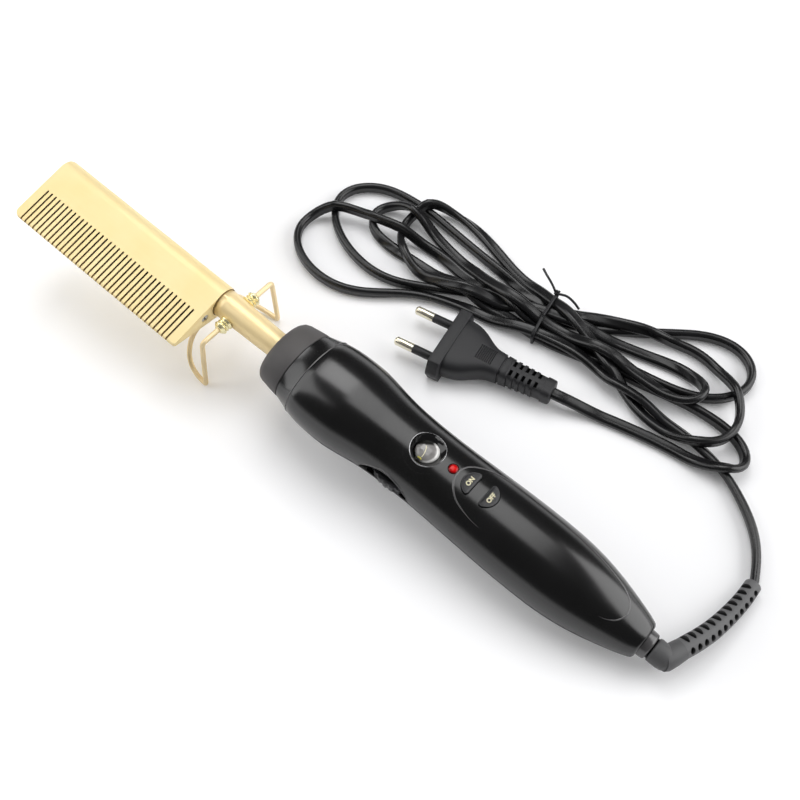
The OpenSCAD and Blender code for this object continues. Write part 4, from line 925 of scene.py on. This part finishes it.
print("boot slots:", len(cutters))

plug = {
    "spot": (66.5, 57.5, 6.85), "turn": 10.7, "plate": 5.5,
    "flange": [(17.65, 0.8), (15.3, 6.85), (-15.3, 6.85), (-17.65, 0.8), (-17.65, -0.8), (-15.3, -6.85),
               (15.3, -6.85), (17.65, -0.8)],
    # distance from the flange's face, half height, half width
    "body": [(5.2, 6.15, 14.45), (7, 6.2, 14.35), (9, 6.25, 14.05), (11, 6.25, 13.55), (13, 6.15, 12.85),
             (15, 6.05, 11.75), (17, 5.95, 10.45), (18.8, 5.85, 9.2), (20.5, 5.75, 8.05), (22, 5.65, 7.25),
             (23.5, 5.55, 6.65), (27.4, 5.35, 6.05)],
    # finger patch: its cuts, and the height of their middles at a distance, with its fall
    "patch": {"from": 16.6, "to": 23.6, "count": 9, "cut": (0.48, 7.4, 1.2), "height": (6.12, 13, 0.07)},
}
plugPlace = tableMm @ Matrix.Translation(plug["spot"]) @ Matrix.Rotation(radians(plug["turn"]), 4, "Z")


def boxCut(shape, spot, size):
    box = begin("boxCutter", bpy.ops.mesh.primitive_cube_add, size=1, location=spot, scale=size)
    cutWith(shape, box)


plate = outlined("plugFlange", [(0, y, z) for y, z in plug["flange"]])
thicken(plate, (plug["plate"], 0, 0))
softEdges(plate, 0.45, 20, 3)
deliver(plate, "cord_set", "plug", ("plug_body",), plugPlace, 30)
bulk = stack("plugBody", plug["body"], 72, 3.6)
settlePlace(bulk, alongX)
patch = plug["patch"]
high, at, fall = patch["height"]
for x in np.linspace(patch["from"], patch["to"], patch["count"]):
    for up in (-1, 1):
        boxCut(bulk, (x, 0, up * (high - fall * (x - at))), patch["cut"])
softEdges(bulk, 0.08, 50, 1)
deliver(bulk, "cord_set", "plug", ("plug_body",), plugPlace, 35)

relief = {
    "sleeve": [(27.0, 5.3, 6.0), (27.9, 5.3, 6.0), (28.05, 4.6, 5.2), (28.9, 4.6, 5.2), (29.05, 5.15, 5.9),
               (31.2, 5.0, 5.75), (31.25, 4.7, 5.1), (47.9, 4.2, 4.5), (48.0, 4.45, 5.05), (51.6, 4.3, 4.9),
               (52, 3.9, 4.5)],
    "rib": [(-0.8, 4.2, 5.3), (-0.65, 4.7, 5.85), (0.65, 4.7, 5.85), (0.8, 4.2, 5.3)],
    "first": 32.2, "pitch": 2.95, "rows": 5, "narrows": 0.03, "ribAt": -0.72,
    "window": (1.4, 2.7, 20), "windowAt": (0.75, 2.35),
}
sleeve = stack("plugRelief", relief["sleeve"], 48, 4)
settlePlace(sleeve, alongX)
rib = stack("plugRib", relief["rib"], 48, 4)
settlePlace(rib, alongX)
for i in range(relief["rows"]):   # windows between the ribs
    x = relief["first"] + i * relief["pitch"]
    on, aside = relief["windowAt"]
    for side in (-1, 1):
        boxCut(sleeve, (x + on, side * aside, 0), relief["window"])
    copy = rib.copy()
    copy.data = rib.data.copy()
    copy.name = copy.data.name = "plugRib%d" % i
    added(copy)
    shrink = Matrix.Diagonal((1, *[1 - relief["narrows"] * i] * 2, 1))
    place = plugPlace @ Matrix.Translation((x + relief["ribAt"], 0, 0)) @ shrink
    deliver(copy, "cord_set", "plug", ("plug_relief",), place, 35)
bpy.data.objects.remove(rib)
softEdges(sleeve, 0.12, 45, 2)
deliver(sleeve, "cord_set", "plug", ("plug_relief",), plugPlace, 35)
refined("plug_pins", "plugPins", "cord_set", "pins", 0.12, 40)
refined("pin_sleeves", "pinSleeves", "cord_set", "plug", 0.06, 40)
print("plug done")

tie = {
    "spot": (91, 97.5, 0), "turn": 11, "wire": 0.55, "loop": 0.75, "floor": 0.85, "coil": 0.75, "turns": 2,
    "run": (3.1, 2.5),   # half width and height of a run, with room for the wire
    "ends": [[(0, 0, 0), (-1.6, 1.2, 1.8), (-4.4, 3.2, 3), (-7.6, 5.4, 3.6), (-10.4, 7.6, 4)],
             [(0, 0, 0), (1.6, 0.2, 1.4), (5, 0.4, 1.8), (8.6, -0.4, 1), (12, -1.6, -0.6)]],
}
tiePlace = tableMm @ Matrix.Translation(tie["spot"]) @ Matrix.Rotation(radians(tie["turn"]), 4, "Z")


def tiePart(name, path, thick, closed=False):
    deliver(sweep(name, path, thick, 10, None, closed), "cord_set", "tie", ("cord_tie",), tiePlace, 60)


spots = []   # the outlines of the runs that the tie crosses
around = np.radians(np.arange(0, 360, 15))
wide, tall = tie["run"]
for x, y, z in (tiePlace.inverted() @ Vector(q) for q in cordPath):
    if abs(x) < 1.6 and abs(y) < 20:
        spots += [(y + wide * cos(a), max(z + tall * sin(a), 0.1)) for a in around]
hull = []
for points in (sorted(spots), sorted(spots)[::-1]):   # lower, then upper side of the bundle's outline
    part = []
    for q in points:
        while len(part) > 1 and ((part[-1][0] - part[-2][0]) * (q[1] - part[-2][1])
                                 - (part[-1][1] - part[-2][1]) * (q[0] - part[-2][0])) <= 0:
            part.pop()
        part.append(q)
    hull += part[:-1]
middle = np.mean(hull, axis=0)
ring = np.array([q + tie["wire"] * (q - middle) / np.linalg.norm(q - middle) for q in np.array(hull)])
ring[:, 1] = np.maximum(ring[:, 1], tie["floor"])
y, z = ring[np.argmax(ring @ (0.5, 1))]   # its knot
tiePart("tieLoop", smoothPath([(0, *q) for q in np.r_[ring, ring[:1]]], 4)[:-1], tie["loop"], True)
for i, end in enumerate(tie["ends"]):
    tiePart("tieEnd%d" % i, smoothPath([(dx, y + dy, z + dz) for dx, dy, dz in end], 8), tie["wire"])
angles = np.linspace(0, 2 * pi * tie["turns"], 40)
tiePart("tieTwist", [(tie["coil"] * cos(a), y + 0.1 * a, z + 0.3 + tie["coil"] * sin(a) + 0.12 * a)
                     for a in angles], tie["wire"])
print("tie done")

light = {
    "floor": 3.0, "middle": (0.065, 0.065), "span": (0.165, 0.075), "near": (0.01, 0.1), "white": 0.17,
    "horizon": (0.2, 0.9), "distant": 0.7, "lift": 0.08, "fill": 0.12, "low": 1.0, "high": 0.1,
}
floor = begin("floor", bpy.ops.mesh.primitive_plane_add, size=light["floor"], location=(0.08, 0.05, -0.0002))
r = Recipe("paleFloor")
spot = r.parts("SeparateXYZ", r.place)
beyond = [((spot[axis] - middle).math("ABSOLUTE") - span).math("MAXIMUM", 0)
          for axis, middle, span in zip("XY", light["middle"], light["span"])]
away = (beyond[0] * beyond[0] + beyond[1] * beyond[1]).math("SQRT")
glow = away.within(*light["near"]) * light["white"] + away.within(*light["horizon"]) * light["distant"]
rays = r.parts("LightPath")
seen = rays["Is Camera Ray"].math("MAXIMUM", rays["Is Glossy Ray"])
seen = seen.math("MAXIMUM", rays["Is Transmission Ray"])
pale = r.mix((glow + light["lift"]) * seen, "#000000", "#ffffff")   # brighter away from the tool
floor.data.materials.append(r.done(Base_Color=r.mix(r.noise(6, 2), "#f6f6f7", "#f2f2f4"), Roughness=0.55,
                                   Emission_Color=pale, Emission_Strength=1.0))

sky = Recipe("studio", "worlds", "Generated")
bpy.context.scene.world = sky.made
sky.tree.nodes.remove(sky.tree.nodes["Background"])
rise = sky.parts("SeparateXYZ", sky.place)["Z"]   # height of the direction looked in
mirrored = sky.node("MapRange", {"clamp": True}, [rise, 0.0, 0.16, light["low"], light["high"]])
fill, gloss, white = (sky.node("Background", values=[(1, 1, 1, 1), strength])
                      for strength in (light["fill"], mirrored, 1.0))
rays = sky.parts("LightPath")
seen = rays["Is Camera Ray"].math("MAXIMUM", rays["Is Transmission Ray"])
lit = sky.node("MixShader", values=[rays["Is Glossy Ray"], fill, gloss])
backdrop = sky.node("MixShader", values=[seen, lit, white])
sky.feed(sky.tree.nodes["World Output"].inputs["Surface"], backdrop)

softboxes = {   # direction, distance, width, height, radiance, and whether its sides run with the tool
    "overheadFront": ((-0.365, 0.30, 0.88), 1.0, 0.34, 0.62, 4.1, True),
    "overheadMiddle": ((-0.03, 0.22, 0.96), 1.0, 0.32, 0.78, 2.4, True),
    "rightSide": ((0.68, 0.53, 0.50), 0.9, 0.9, 0.8, 3.0, False),
    "leftSide": ((-0.76, -0.40, 0.55), 0.85, 0.6, 0.85, 2.1, False),
}
for name, (way, far, wide, high, strength, straight) in softboxes.items():
    source = bpy.data.lights.new(name, "AREA")
    source.shape, source.size, source.size_y = "RECTANGLE", wide, high
    source.energy = strength * pi * wide * high
    box = added(bpy.data.objects.new(name, source))
    way = Vector(way).normalized()
    across = (Vector((1, 0, 0)) - way * way.x).normalized()
    facing = way.to_track_quat("Z", "Y").to_matrix()
    if straight:
        facing = Matrix((across, way.cross(across), way)).transposed()
    box.matrix_world = Matrix.Translation(Vector((0.08, 0.03, 0)) + way * far) @ facing.to_4x4()
print("stage set")
